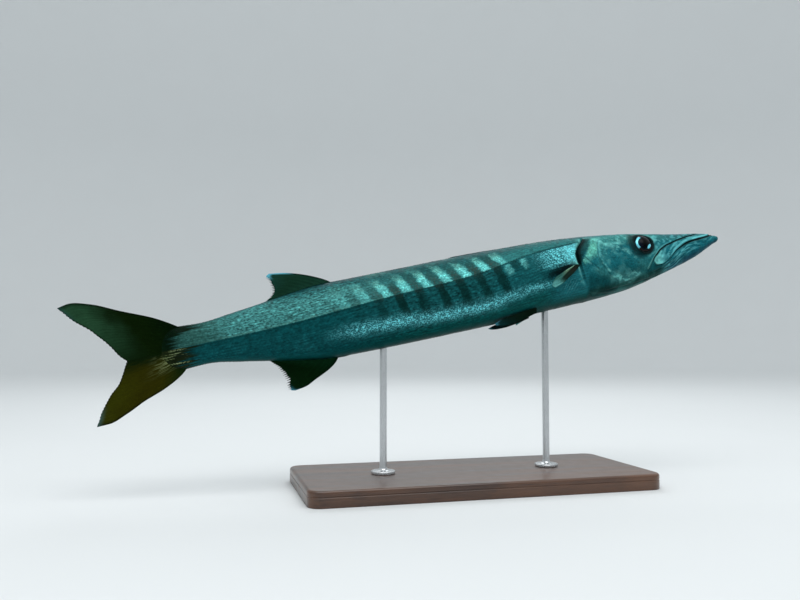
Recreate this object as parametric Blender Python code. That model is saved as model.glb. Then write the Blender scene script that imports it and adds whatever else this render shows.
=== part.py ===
"""A barracuda as a still, life-size display model on a plain stand.

Metres, +Z up.  The origin is the middle of the underside of the stand's
base.  The head points to +X and rises; the fish's right side faces -Y.

Everything on the fish is laid out in its own measures: s is the distance
behind the tip of the lower jaw along a straight axis, z the height above
that axis (towards the back) and y the distance out to the fish's right.
"""
import bpy
import bmesh
import math
import numpy as np

for old in list(bpy.data.objects):
    bpy.data.objects.remove(old, do_unlink=True)

# ------------------------------------------------------------------ sizes
STANDARD_LENGTH = 0.870        # jaw tip to the root of the tail fin
AXIS_HEIGHT = 0.285            # middle of the axis above the floor
PITCH = math.radians(11.85)    # head up
GAP = 0.0003                   # clearance between neighbouring pieces

JAW_START = 0.0                # tip of the lower jaw
SNOUT_START = 0.013            # tip of the upper jaw, just behind it
JAW_END = 0.146                # corner of the mouth
NAPE = 0.250                   # head to trunk
TRUNK_CUT_1 = 0.440
TRUNK_CUT_2 = 0.640
TRUNK_CUT_3 = 0.775
TAIL_ROOT = 0.850              # end of the peduncle

# body stations: s, back, belly, half width, level of the widest point,
# squareness of the back and of the belly (2 is an ellipse)
STATIONS = (
    (0.000, 0.0006, -0.0028, 0.0022, -0.0012, 2.0, 2.0),
    (0.0015, 0.0026, -0.0050, 0.0046, -0.0012, 2.0, 2.0),
    (0.004, 0.0040, -0.0066, 0.0064, -0.0010, 2.0, 2.0),
    (0.012, 0.0064, -0.0089, 0.0090, -0.0006, 2.0, 2.0),
    (0.022, 0.0106, -0.0124, 0.0112, -0.0006, 2.1, 2.0),
    (0.040, 0.0142, -0.0195, 0.0142, -0.0015, 2.2, 2.1),
    (0.080, 0.0190, -0.0310, 0.0195, -0.0030, 2.4, 2.1),
    (0.120, 0.0252, -0.0397, 0.0250, -0.0010, 2.7, 2.1),
    (0.160, 0.0328, -0.0482, 0.0305, -0.0010, 2.6, 2.1),
    (0.200, 0.0388, -0.0538, 0.0350, -0.0010, 2.4, 2.1),
    (0.255, 0.0448, -0.0563, 0.0395, 0.0000, 2.2, 2.1),
    (0.330, 0.0487, -0.0574, 0.0420, 0.0000, 2.1, 2.1),
    (0.430, 0.0494, -0.0602, 0.0435, -0.0030, 2.1, 2.1),
    (0.540, 0.0482, -0.0599, 0.0430, -0.0040, 2.1, 2.1),
    (0.640, 0.0470, -0.0582, 0.0385, -0.0040, 2.1, 2.1),
    (0.735, 0.0365, -0.0440, 0.0285, -0.0030, 2.1, 2.1),
    (0.775, 0.0315, -0.0365, 0.0235, -0.0020, 2.1, 2.1),
    (0.820, 0.0264, -0.0296, 0.0185, -0.0015, 2.1, 2.1),
    (0.852, 0.0275, -0.0308, 0.0125, -0.0015, 2.1, 2.1),
    (0.885, 0.0300, -0.0340, 0.0040, -0.0015, 2.0, 2.0),
)
# the body banks as it swims: belly towards -Y, most at the head
ROLL = ((0.0, 22.5), (0.16, 22.0), (0.30, 18.5), (0.42, 12.5), (0.53, 8.5),
        (0.75, 4.5), (1.0, 3.0), (1.2, 3.0))
# level of the mouth opening along the jaws
MOUTH = ((0.000, 0.0002), (0.0015, 0.0020), (0.004, 0.0034), (0.0114, 0.0056),
         (0.0126, 0.0032), (0.027, 0.0020), (0.050, -0.0012),
         (0.070, -0.0075), (0.089, -0.0150), (0.107, -0.0205),
         (0.130, -0.0262), (0.150, -0.0292))

EYE_S, EYE_Y, EYE_Z = 0.1509, 0.0224, 0.0038
EYE_RADIUS = 0.0160            # seen from the side
EYE_DEPTH = 0.0098             # half thickness of the ball

BASE_LENGTH, BASE_WIDTH, BASE_THICK = 0.500, 0.210, 0.022
BASE_CORNER = 0.018
BASE_EDGE = 0.004
ROD_RADIUS = 0.005
ROD_X = (0.120, -0.130)        # front and rear rod
FLANGE_RADIUS, FLANGE_THICK = 0.017, 0.004
SOCKET_DEPTH = 0.014

RING_BACK = 18                 # points round the back half of a ring
RING_BELLY = 12                # and round the belly half


# -------------------------------------------------------------- functions
def smooth(points, x):
    """Monotone cubic through (x, y) pairs."""
    xs = np.array([p[0] for p in points], float)
    ys = np.array([p[1] for p in points], float)
    h = np.diff(xs)
    d = np.diff(ys) / h
    m = np.zeros(len(xs))
    m[0], m[-1] = d[0], d[-1]
    for i in range(1, len(xs) - 1):
        if d[i - 1] * d[i] > 0:
            a, b = 2 * h[i] + h[i - 1], h[i] + 2 * h[i - 1]
            m[i] = (a + b) / (a / d[i - 1] + b / d[i])
    x = np.clip(np.asarray(x, float), xs[0], xs[-1])
    i = np.clip(np.searchsorted(xs, x) - 1, 0, len(h) - 1)
    t = (x - xs[i]) / h[i]
    return ((1 + 2 * t) * (1 - t) ** 2 * ys[i]
            + t * (1 - t) ** 2 * h[i] * m[i]
            + t * t * (3 - 2 * t) * ys[i + 1]
            + t * t * (t - 1) * h[i] * m[i + 1])


def station(s, k):
    return smooth([(row[0], row[k]) for row in STATIONS], s)


AXIS = np.array([math.cos(PITCH), 0.0, math.sin(PITCH)])
UP0 = np.array([-math.sin(PITCH), 0.0, math.cos(PITCH)])
SIDE0 = np.array([0.0, 1.0, 0.0])
TIP = np.array([0.0, 0.0, AXIS_HEIGHT]) + 0.5 * STANDARD_LENGTH * AXIS


def directions(s):
    """Back direction and right-hand direction of the banked body."""
    roll = np.radians(smooth(ROLL, np.asarray(s, float) / STANDARD_LENGTH))
    c, n = np.cos(roll)[..., None], np.sin(roll)[..., None]
    return c * UP0 + n * SIDE0, -c * SIDE0 + n * UP0


def place(s, y, z):
    s = np.asarray(s, float)
    back, right = directions(s)
    return (TIP - s[..., None] * AXIS + np.asarray(y, float)[..., None] * right
            + np.asarray(z, float)[..., None] * back)


def outline(s, a):
    """Point (y, z) of the body's ring at angle a: 0 right, 90 deg back."""
    s, a = np.asarray(s, float), np.asarray(a, float)
    top, bottom, wide, level = (station(s, k) for k in (1, 2, 3, 4))
    e = np.where(np.sin(a) >= 0, station(s, 5), station(s, 6))
    c, n = np.cos(a), np.sin(a)
    y = wide * np.sign(c) * np.abs(c) ** (2 / e)
    z = level + np.where(n >= 0, top - level, level - bottom) \
        * np.sign(n) * np.abs(n) ** (2 / e)
    return y, z


def angle_at_level(s, z):
    """Angle on the right side where the ring passes the level z."""
    a = np.linspace(-1.5, 1.5, 1201)
    zz = outline(np.full_like(a, s), a)[1]
    return float(np.interp(z, zz, a))


# -------------------------------------------------------------- materials
def material(name, colour, rough, metal=0.0):
    mat = bpy.data.materials.new(name)
    mat.use_nodes = True
    b = mat.node_tree.nodes["Principled BSDF"]
    b.inputs["Base Color"].default_value = (*colour, 1.0)
    b.inputs["Roughness"].default_value = rough
    b.inputs["Metallic"].default_value = metal
    return mat


# ----------------------------------------------------------------- solids
def solid(name, points, faces, mat, flat=False):
    mesh = bpy.data.meshes.new(name)
    mesh.from_pydata([tuple(map(float, p)) for p in points], [],
                     [tuple(map(int, f)) for f in faces])
    bm = bmesh.new()
    bm.from_mesh(mesh)
    bmesh.ops.remove_doubles(bm, verts=bm.verts, dist=0.00001)
    bmesh.ops.recalc_face_normals(bm, faces=bm.faces)
    bm.to_mesh(mesh)
    bm.free()
    mesh.materials.append(mat)
    if not flat:
        mesh.shade_smooth()
        mesh.set_sharp_from_angle(angle=math.radians(40))
    ob = bpy.data.objects.new(name, mesh)
    bpy.context.scene.collection.objects.link(ob)
    return ob


def loft(name, rings, mat):
    """Closed solid through rings of equal point count, flat ends."""
    n, m = len(rings), len(rings[0])
    pts = [p for ring in rings for p in ring]
    faces = []
    for i in range(n - 1):
        for j in range(m):
            k = (j + 1) % m
            a, b, c, d = i * m + j, i * m + k, (i + 1) * m + k, (i + 1) * m + j
            faces += [(a, b, c), (a, c, d)]
    faces.append(tuple(range(m)))
    faces.append(tuple(range((n - 1) * m, n * m))[::-1])
    return solid(name, pts, faces, mat)


def full_ring(s, scale=1.0):
    """Whole ring: the back half first, then the belly half."""
    start = -0.12
    back = np.linspace(start, math.pi - start, RING_BACK)
    belly = np.linspace(math.pi - start, 2 * math.pi + start,
                        RING_BELLY + 2)[1:-1]
    a = np.concatenate([back, belly])
    y, z = outline(np.full_like(a, s), a)
    mid = station(s, 4)
    return place(np.full_like(a, s), y * scale, mid + (z - mid) * scale)


def upper_ring(s, scale=1.0):
    """Ring closed by the mouth line below (head above the mouth)."""
    level = float(smooth(MOUTH, s)) + GAP / 2
    a0 = angle_at_level(s, level)
    a = np.linspace(a0, math.pi - a0, RING_BACK)
    y, z = outline(np.full_like(a, s), a)
    y2 = np.linspace(y[-1], y[0], RING_BELLY + 2)[1:-1]
    z2 = np.full_like(y2, z[0])
    y, z = np.concatenate([y, y2]), np.concatenate([z, z2])
    return place(np.full_like(y, s), y * scale, z[0] + (z - z[0]) * scale)


def lower_ring(s, scale=1.0):
    """Ring closed by the mouth line above (lower jaw)."""
    level = float(smooth(MOUTH, s)) - GAP / 2
    top = float(station(s, 1))
    level = min(level, top - 0.0002)
    a0 = angle_at_level(s, level)
    a = np.linspace(math.pi - a0, 2 * math.pi + a0, RING_BACK)
    y, z = outline(np.full_like(a, s), a)
    y2 = np.linspace(y[-1], y[0], 8)[1:-1]
    z2 = np.full_like(y2, z[0])
    y, z = np.concatenate([y, y2]), np.concatenate([z, z2])
    return place(np.full_like(y, s), y * scale, z[0] + (z - z[0]) * scale)


def boolean(ob, cutter, kind="DIFFERENCE"):
    mod = ob.modifiers.new(kind.title() + "_" + cutter.name, "BOOLEAN")
    mod.operation = kind
    mod.solver = "EXACT"
    mod.object = cutter


def as_cutter(ob):
    ob.hide_render = True
    ob.display_type = "WIRE"
    return ob


# ------------------------------------------------------------------- body
skin_back = material("skin_head", (0.16, 0.26, 0.25), 0.38, 0.25)
skin_jaw = material("skin_jaw", (0.18, 0.28, 0.28), 0.38, 0.25)
skin_side = material("skin_gill_cover", (0.24, 0.36, 0.34), 0.34, 0.30)
skin_trunk_1 = material("skin_trunk_front", (0.22, 0.34, 0.34), 0.34, 0.35)
skin_trunk_2 = material("skin_trunk_middle", (0.20, 0.32, 0.32), 0.34, 0.35)
skin_trunk_3 = material("skin_trunk_rear", (0.19, 0.30, 0.30), 0.34, 0.35)
skin_tail = material("skin_peduncle", (0.19, 0.29, 0.28), 0.36, 0.30)

s_head = [SNOUT_START, SNOUT_START + 0.0025]
s_head += list(np.linspace(SNOUT_START + 0.007, JAW_END, 10))
head_rings = [upper_ring(s_head[0], 0.72), upper_ring(s_head[1], 0.93)]
head_rings += [upper_ring(s) for s in s_head[2:]]
head_rings += [full_ring(s) for s in np.linspace(JAW_END + GAP, NAPE, 8)]
head = loft("head", head_rings, skin_back)

s_jaw = np.concatenate([[0.0020, 0.0040, 0.0075, 0.0114, 0.0126, 0.0155],
                        np.linspace(0.020, JAW_END - GAP, 10)])
jaw_rings = [lower_ring(0.0009, 0.85)] + [lower_ring(s) for s in s_jaw]
jaw = loft("jaw_lower", jaw_rings, skin_jaw)


def length_piece(name, s0, s1, count, mat):
    return loft(name, [full_ring(s) for s in np.linspace(s0, s1, count)], mat)


trunk_front = length_piece("trunk_front", NAPE + GAP, TRUNK_CUT_1, 10,
                           skin_trunk_1)
trunk_middle = length_piece("trunk_middle", TRUNK_CUT_1 + GAP, TRUNK_CUT_2,
                            10, skin_trunk_2)
trunk_rear = length_piece("trunk_rear", TRUNK_CUT_2 + GAP, TRUNK_CUT_3, 9,
                          skin_trunk_3)
peduncle = length_piece("caudal_peduncle", TRUNK_CUT_3 + GAP, TAIL_ROOT, 7,
                        skin_tail)

# ------------------------------------------------------------ gill covers
GILL_FRONT = ((-1.00, 0.1850), (-0.75, 0.2068), (-0.49, 0.2226),
              (-0.25, 0.2314), (0.05, 0.2386), (0.66, 0.2360))
GILL_REAR = ((-1.00, 0.2500), (-0.80, 0.2620), (-0.47, 0.2710),
             (-0.10, 0.2770), (0.15, 0.2700), (0.40, 0.2590), (0.66, 0.2475))


def gill_patch(name, side, grow, out, deep, mat):
    """Curved plate on the side of the head between two edges."""
    na, ns = 11, 7
    a = np.linspace(-1.0, 0.66, na)
    pts = []
    for depth in (out, -deep):
        for ai in a:
            f = float(smooth(GILL_FRONT, ai)) - (1.6 + 3 * (ai == a[0])) * grow
            r = float(smooth(GILL_REAR, ai)) + 1.6 * grow
            ai = ai + grow / 0.035 * ((ai == a[-1]) * 1.0 - (ai == a[0]))
            s = np.linspace(f, r, ns)
            y, z = outline(s, np.full_like(s, ai))
            level = station(s, 4)
            wide = station(s, 3)
            k = 1.0 + depth / wide
            pts += list(place(s, side * y * k, level + (z - level) * k))
    faces = []
    n = na * ns
    for i in range(na - 1):
        for j in range(ns - 1):
            q = (i * ns + j, i * ns + j + 1, (i + 1) * ns + j + 1,
                 (i + 1) * ns + j)
            faces += [(q[0], q[1], q[2]), (q[0], q[2], q[3])]
            faces += [(n + q[2], n + q[1], n + q[0]),
                      (n + q[3], n + q[2], n + q[0])]
    rim = [(0, j) for j in range(ns)] + [(i, ns - 1) for i in range(1, na)] \
        + [(na - 1, j) for j in range(ns - 2, -1, -1)] \
        + [(i, 0) for i in range(na - 2, 0, -1)]
    for p, q in zip(rim, rim[1:] + rim[:1]):
        a0, b0 = p[0] * ns + p[1], q[0] * ns + q[1]
        faces.append((a0, n + a0, n + b0, b0))
    return solid(name, pts, faces, mat)


for side, tag in ((1, "right"), (-1, "left")):
    gill_patch("gill_cover_" + tag, side, 0.0, 0.0006, 0.0040, skin_side)
    pocket = as_cutter(gill_patch("pocket_gill_" + tag, side, 0.0007, 0.0030,
                                  0.0048, skin_side))
    boolean(head, pocket)
    boolean(trunk_front, pocket)

# ------------------------------------------------------------------- eyes
eye_mat = material("eye", (0.05, 0.10, 0.10), 0.08)


def eyeball(name, side, radius, depth, mat):
    """Flattened ball whose axis points out of the socket."""
    rings, across = 9, 18
    centre = place(EYE_S, side * EYE_Y, EYE_Z)
    back, right = directions(EYE_S)
    out = right * side + 0.06 * AXIS - 0.02 * back
    out = out / np.linalg.norm(out)
    e1 = AXIS - out * np.dot(AXIS, out)
    e1 = e1 / np.linalg.norm(e1)
    e2 = np.cross(out, e1)
    pts, faces = [centre + out * depth], []
    for i in range(1, rings):
        t = math.pi * i / rings
        for j in range(across):
            p = 2 * math.pi * j / across
            pts.append(centre + out * depth * math.cos(t)
                       + radius * math.sin(t) * (e1 * math.cos(p)
                                                 + e2 * math.sin(p)))
    pts.append(centre - out * depth)
    last = len(pts) - 1
    for j in range(across):
        k = (j + 1) % across
        faces.append((0, 1 + j, 1 + k))
        faces.append((last, last - across + k, last - across + j))
        for i in range(rings - 2):
            a, b = 1 + i * across + j, 1 + i * across + k
            faces.append((a, a + across, b + across, b))
    return solid(name, pts, faces, mat)


for side, tag in ((1, "right"), (-1, "left")):
    eyeball("eye_" + tag, side, EYE_RADIUS, EYE_DEPTH, eye_mat)
    socket = as_cutter(eyeball("socket_eye_" + tag, side,
                               EYE_RADIUS + 0.0005, EYE_DEPTH + 0.0005,
                               eye_mat))
    boolean(head, socket)


# ------------------------------------------------------------------- fins
def curve(points, n):
    """n points along a smooth path through a few named corners."""
    p = np.array(points, float)
    t = np.concatenate([[0], np.cumsum(np.linalg.norm(np.diff(p, axis=0),
                                                      axis=1))])
    t = t / t[-1]
    q = np.linspace(0, 1, n)
    return np.stack([smooth(list(zip(t, p[:, k])), q)
                     for k in range(p.shape[1])], -1)


def patch(base, trail, lead, rear, nu, nv):
    """Surface between four edges; u runs along the root, v to the edge."""
    B, T = curve(base, nu), curve(trail, nu)
    L, R = curve(lead, nv), curve(rear, nv)
    u = np.linspace(0, 1, nu)[:, None, None]
    v = np.linspace(0, 1, nv)[None, :, None]
    grid = ((1 - v) * B[:, None] + v * T[:, None] + (1 - u) * L[None]
            + u * R[None] - (1 - u) * (1 - v) * B[0] - u * (1 - v) * B[-1]
            - (1 - u) * v * T[0] - u * v * T[-1])
    return grid


def plate(name, mid, normal, root, edge, mat, power=0.8):
    """Solid fin: mid is a grid of points, normal the grid's thickness
    direction, root and edge its thickness at the root and at the edge."""
    nu, nv = mid.shape[:2]
    v = np.linspace(0, 1, nv)[None, :, None]
    half = 0.5 * (root + (edge - root) * v ** power)
    rim = np.ones((nu, 1, 1))
    rim[0] = rim[-1] = 0.45
    half = np.maximum(half * rim, 0.5 * edge)
    a, b = mid + normal * half, mid - normal * half
    pts = list(a.reshape(-1, 3)) + list(b.reshape(-1, 3))
    n = nu * nv
    faces = []
    for i in range(nu - 1):
        for j in range(nv - 1):
            q = (i * nv + j, i * nv + j + 1, (i + 1) * nv + j + 1,
                 (i + 1) * nv + j)
            faces += [(q[0], q[1], q[2]), (q[0], q[2], q[3])]
            faces += [(n + q[2], n + q[1], n + q[0]),
                      (n + q[3], n + q[2], n + q[0])]
    rimv = [(0, j) for j in range(nv)] + [(i, nv - 1) for i in range(1, nu)] \
        + [(nu - 1, j) for j in range(nv - 2, -1, -1)] \
        + [(i, 0) for i in range(nu - 2, 0, -1)]
    for p, q in zip(rimv, rimv[1:] + rimv[:1]):
        a0, b0 = p[0] * nv + p[1], q[0] * nv + q[1]
        faces.append((a0, n + a0, n + b0, b0))
    return solid(name, pts, faces, mat)


def median_fin(name, base, trail, lead, rear, nu, nv, root, edge, mat,
               power=0.8):
    """Fin in the middle plane of the body: corners given as (s, z)."""
    grid = patch(base, trail, lead, rear, nu, nv)
    s, z = grid[..., 0], grid[..., 1]
    mid = place(s, np.zeros_like(s), z)
    normal = directions(s)[1]
    return plate(name, mid, normal, root, edge, mat, power)


def back_line(s0, s1, k, lift, n=7):
    """Root line that follows the back (k=1) or the belly (k=2)."""
    return [(s, float(station(s, k)) + lift) for s in np.linspace(s0, s1, n)]


fin_dark = material("fin_dark", (0.05, 0.08, 0.05), 0.5)
fin_olive = material("fin_olive", (0.11, 0.11, 0.03), 0.5)
fin_pale = material("fin_pale", (0.16, 0.22, 0.20), 0.45)

LIFT = 0.0005
base = back_line(0.630, 0.7290, 1, LIFT)
median_fin("fin_dorsal_second", base,
           [(0.7172, 0.0748), (0.7236, 0.0700), (0.7190, 0.0600),
            (0.7190, 0.0490), (0.7308, 0.0378)],
           [base[0], (0.6536, 0.0582), (0.6746, 0.0664), (0.6960, 0.0720),
            (0.7172, 0.0748)],
           [base[-1], (0.7308, 0.0378)], 13, 7, 0.0050, 0.0008, fin_dark)

base = back_line(0.643, 0.7370, 2, -LIFT)
median_fin("fin_anal", base,
           [(0.7145, -0.0898), (0.7246, -0.0868), (0.7260, -0.0740),
            (0.7300, -0.0600), (0.7400, -0.0442)],
           [base[0], (0.6600, -0.0700), (0.6850, -0.0815),
            (0.6990, -0.0876), (0.7145, -0.0898)],
           [base[-1], (0.7400, -0.0442)], 13, 7, 0.0050, 0.0008, fin_dark)

# the first dorsal fin lies folded back in its groove, as low spines
FOLD_START, FOLD_END, FOLD_HEIGHT = 0.384, 0.470, 0.0032
base = back_line(FOLD_START, FOLD_END, 1, LIFT)
crest = [(s + 0.002, float(station(s, 1)) + LIFT
          + FOLD_HEIGHT * math.sin(math.pi * min(1.0, (i + 0.6) / 7)) ** 0.5)
         for i, s in enumerate(np.linspace(FOLD_START, FOLD_END - 0.002, 7))]
median_fin("fin_dorsal_first", base, crest, [base[0], crest[0]],
           [base[-1], crest[-1]], 13, 3, 0.0026, 0.0010, fin_dark)

FORK = (0.9189, -0.0042)
CENTRE = (TAIL_ROOT + GAP, -0.0020)
HALF = GAP / 2
root_up = [(TAIL_ROOT + GAP, 0.0272), (TAIL_ROOT + GAP, 0.012),
           (CENTRE[0], CENTRE[1] + HALF)]
median_fin("fin_caudal_upper", root_up,
           [(0.9890, 0.0796), (0.9767, 0.0628), (0.9559, 0.0433),
            (0.9359, 0.0180), (0.9265, 0.0030), (FORK[0], FORK[1] + HALF)],
           [root_up[0], (0.8744, 0.0436), (0.9154, 0.0618),
            (0.9500, 0.0774), (0.9730, 0.0828), (0.9890, 0.0796)],
           [root_up[-1], (FORK[0], FORK[1] + HALF)],
           11, 10, 0.0200, 0.0008, fin_dark, 0.45)
root_low = [(CENTRE[0], CENTRE[1] - HALF), (TAIL_ROOT + GAP, -0.016),
            (TAIL_ROOT + GAP, -0.0305)]
median_fin("fin_caudal_lower", root_low,
           [(FORK[0], FORK[1] - HALF), (0.9235, -0.0120), (0.9341, -0.0310),
            (0.9468, -0.0430), (0.9632, -0.0650), (0.9704, -0.0797)],
           [root_low[0], (FORK[0], FORK[1] - HALF)],
           [root_low[-1], (0.8798, -0.0502), (0.9072, -0.0604),
            (0.9306, -0.0712), (0.9550, -0.0794), (0.9704, -0.0797)],
           11, 10, 0.0200, 0.0008, fin_olive, 0.45)


def clear_of_body(s, y, z, margin, downwards):
    """Move points that would touch the body out to the side, or down."""
    level = station(s, 4)
    wide, bottom, e = station(s, 3), station(s, 2), station(s, 6)
    if downwards:
        q = np.clip(np.abs(y) / wide, 0, 0.999)
        limit = level - (level - bottom) * (1 - q ** e) ** (1 / e) - margin
        return y, np.minimum(z, limit)
    q = np.clip((level - z) / (level - bottom), 0, 0.999)
    limit = wide * (1 - q ** e) ** (1 / e) + margin
    return np.maximum(y, limit), z


def paired_fin(name, side, root, along, across, out, length, width, tip_width,
               narrow, curl, nu, nv, thick, edge, mat):
    """Narrow-based paired fin.  root is its (s, y, z) middle, along and
    across its directions as (back, out, up), out the way it bulges."""
    along = np.array(along, float)
    along /= np.linalg.norm(along)
    across = np.array(across, float)
    across -= along * np.dot(across, along)
    across /= np.linalg.norm(across)
    face = np.cross(along, across)
    lead = [(0, -0.5 * narrow * width),
            (0.35 * length, (-0.50 - 0.16 * narrow) * width),
            (0.75 * length, -0.62 * width), (length, -0.20 * width)]
    rear = [(0, 0.5 * narrow * width),
            (0.30 * length, (0.20 + 0.75 * narrow) * width),
            (0.62 * length, 0.5 * width + tip_width)]
    trail = [lead[-1], (0.97 * length, 0.25 * width),
             (0.84 * length, 0.35 * width + 0.7 * tip_width), rear[-1]]
    grid = patch([lead[0], rear[0]], trail, lead, rear, nu, nv)
    p, q = grid[..., 0], grid[..., 1]
    bow = curl * (p / length) ** 2
    off = (p[..., None] * along + q[..., None] * across
           + bow[..., None] * np.array(out, float))
    s = root[0] + off[..., 0]
    y = root[1] + off[..., 1]
    z = root[2] + off[..., 2]
    y, z = clear_of_body(s, y, z, 0.5 * thick + 0.0010,
                         name.startswith("fin_pelvic"))
    y = side * y
    here = np.full_like(s, root[0])
    # laid out with the body's directions at the fin's root
    back, right = directions(here)
    mid = (TIP - s[..., None] * AXIS + y[..., None] * right
           + z[..., None] * back)
    normal = (-face[0] * AXIS + side * face[1] * right[0, 0]
              + face[2] * back[0, 0])
    return plate(name, mid, normal, thick, edge, mat)


for side, tag in ((1, "right"), (-1, "left")):
    paired_fin("fin_pectoral_" + tag, side, (0.2815, 0.0427, -0.0128),
               (0.80, 0.45, -0.38), (0.50, -0.62, 0.55), (0.3, -0.2, 0.9),
               0.084, 0.0115, 0.0042, 0.5, -0.004, 8, 7, 0.0026, 0.0008,
               fin_dark)
    paired_fin("fin_pelvic_" + tag, side, (0.3560, 0.0180, -0.0576),
               (0.985, -0.06, -0.105), (0.15, -0.72, -0.62), (0, 0, -1),
               0.063, 0.0090, 0.0052, 1.0, 0.0, 9, 7, 0.0022, 0.0008,
               fin_pale)

# ------------------------------------------------------------------ stand
stand_wood = material("stand_wood", (0.10, 0.055, 0.03), 0.35)
stand_steel = material("stand_steel", (0.62, 0.63, 0.64), 0.28, 1.0)


def base_plate():
    corner = 6
    rows = []
    for z, inset in ((0.0, 0.0), (BASE_THICK - BASE_EDGE, 0.0),
                     (BASE_THICK - 0.3 * BASE_EDGE, 0.3 * BASE_EDGE),
                     (BASE_THICK, BASE_EDGE)):
        row = []
        hx, hy = BASE_LENGTH / 2 - inset, BASE_WIDTH / 2 - inset
        r = BASE_CORNER - inset
        for qx, qy, start in ((1, 1, 0), (-1, 1, 90), (-1, -1, 180),
                              (1, -1, 270)):
            for k in range(corner + 1):
                t = math.radians(start + 90 * k / corner)
                row.append((qx * (hx - r) + r * math.cos(t),
                            qy * (hy - r) + r * math.sin(t), z))
        rows.append(row)
    return loft("stand_base", rows, stand_wood)


base_plate()


def turned(name, x, y, profile, sides, mat):
    """Solid of revolution about a vertical line, profile as (r, z)."""
    rings = [[(x + r * math.cos(2 * math.pi * k / sides),
               y + r * math.sin(2 * math.pi * k / sides), z)
              for k in range(sides)] for r, z in profile]
    return loft(name, rings, mat)


def belly_height(x):
    """Height of the belly surface above the floor over the point (x, 0)."""
    best = None
    for s in np.linspace(0.2, 0.7, 501):
        a = np.linspace(-2.4, -0.7, 120)
        y, z = outline(np.full_like(a, s), a)
        p = place(np.full_like(a, s), y, z)
        k = int(np.argmin(np.abs(p[:, 1])))
        if best is None or abs(p[k, 0] - x) < abs(best[0] - x):
            best = (p[k, 0], p[k, 2])
    return best[1]


for x, tag, owner in ((ROD_X[0], "front", trunk_front),
                      (ROD_X[1], "rear", trunk_middle)):
    top = belly_height(x) + SOCKET_DEPTH
    foot = BASE_THICK + GAP
    r, f = ROD_RADIUS, FLANGE_RADIUS
    turned("stand_rod_" + tag, x, 0.0,
           [(f, foot), (f, foot + FLANGE_THICK * 0.7),
            (f - 0.0012, foot + FLANGE_THICK),
            (r + 0.0025, foot + FLANGE_THICK + 0.0008),
            (r + 0.0006, foot + FLANGE_THICK + 0.0030),
            (r, foot + FLANGE_THICK + 0.0060), (r, top)], 20, stand_steel)
    bore = as_cutter(turned("bore_rod_" + tag, x, 0.0,
                            [(r + 0.0004, top - 0.06),
                             (r + 0.0004, top + 0.0005)], 20, stand_steel))
    boolean(owner, bore)
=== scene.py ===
"""Looks of the barracuda on its display stand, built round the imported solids.

The fish's own measures, as in its solids: s is the distance behind the tip of
the lower jaw, z the height above the straight axis, y the distance out to the
fish's right.  An angle of 0 is the side, +90 degrees the back and -90 the
belly.  g is the distance round the body from the lateral line, upwards.
"""
import bpy
import math
import numpy as np
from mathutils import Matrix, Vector

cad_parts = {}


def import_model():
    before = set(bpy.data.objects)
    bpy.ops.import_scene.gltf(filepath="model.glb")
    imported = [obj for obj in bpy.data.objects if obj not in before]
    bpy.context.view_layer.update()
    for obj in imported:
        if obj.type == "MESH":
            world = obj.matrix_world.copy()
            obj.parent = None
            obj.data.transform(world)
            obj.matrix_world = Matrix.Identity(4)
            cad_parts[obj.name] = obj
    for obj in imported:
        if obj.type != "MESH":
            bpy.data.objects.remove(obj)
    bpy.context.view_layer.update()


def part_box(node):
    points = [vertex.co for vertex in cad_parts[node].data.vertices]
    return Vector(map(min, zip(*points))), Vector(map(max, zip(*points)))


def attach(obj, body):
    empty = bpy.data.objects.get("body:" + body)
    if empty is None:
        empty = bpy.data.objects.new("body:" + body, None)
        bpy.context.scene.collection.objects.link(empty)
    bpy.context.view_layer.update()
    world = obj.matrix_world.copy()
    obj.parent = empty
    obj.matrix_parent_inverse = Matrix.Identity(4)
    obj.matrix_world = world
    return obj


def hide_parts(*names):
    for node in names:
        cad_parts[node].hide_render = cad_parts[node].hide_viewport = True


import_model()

PI = math.pi

# ------------------------------------------------------------------ sizes
STANDARD_LENGTH = 0.870
AXIS_HEIGHT = 0.285
PITCH = math.radians(11.85)
SKIN_DEPTH = 0.0005            # the skin lies this far inside the solids

STATIONS = (
    (0.000, 0.0006, -0.0028, 0.0022, -0.0012, 2.0, 2.0),
    (0.0015, 0.0026, -0.0050, 0.0046, -0.0012, 2.0, 2.0),
    (0.004, 0.0040, -0.0066, 0.0064, -0.0010, 2.0, 2.0),
    (0.012, 0.0064, -0.0089, 0.0090, -0.0006, 2.0, 2.0),
    (0.022, 0.0106, -0.0124, 0.0112, -0.0006, 2.1, 2.0),
    (0.040, 0.0142, -0.0195, 0.0142, -0.0015, 2.2, 2.1),
    (0.080, 0.0190, -0.0310, 0.0195, -0.0030, 2.4, 2.1),
    (0.120, 0.0252, -0.0397, 0.0250, -0.0010, 2.7, 2.1),
    (0.160, 0.0328, -0.0482, 0.0305, -0.0010, 2.6, 2.1),
    (0.200, 0.0388, -0.0538, 0.0350, -0.0010, 2.4, 2.1),
    (0.255, 0.0448, -0.0563, 0.0395, 0.0000, 2.2, 2.1),
    (0.330, 0.0487, -0.0574, 0.0420, 0.0000, 2.1, 2.1),
    (0.430, 0.0494, -0.0602, 0.0435, -0.0030, 2.1, 2.1),
    (0.540, 0.0482, -0.0599, 0.0430, -0.0040, 2.1, 2.1),
    (0.640, 0.0470, -0.0582, 0.0385, -0.0040, 2.1, 2.1),
    (0.735, 0.0365, -0.0440, 0.0285, -0.0030, 2.1, 2.1),
    (0.775, 0.0315, -0.0365, 0.0235, -0.0020, 2.1, 2.1),
    (0.820, 0.0264, -0.0296, 0.0185, -0.0015, 2.1, 2.1),
    (0.852, 0.0275, -0.0308, 0.0125, -0.0015, 2.1, 2.1),
    (0.885, 0.0300, -0.0340, 0.0040, -0.0015, 2.0, 2.0),
)
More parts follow.
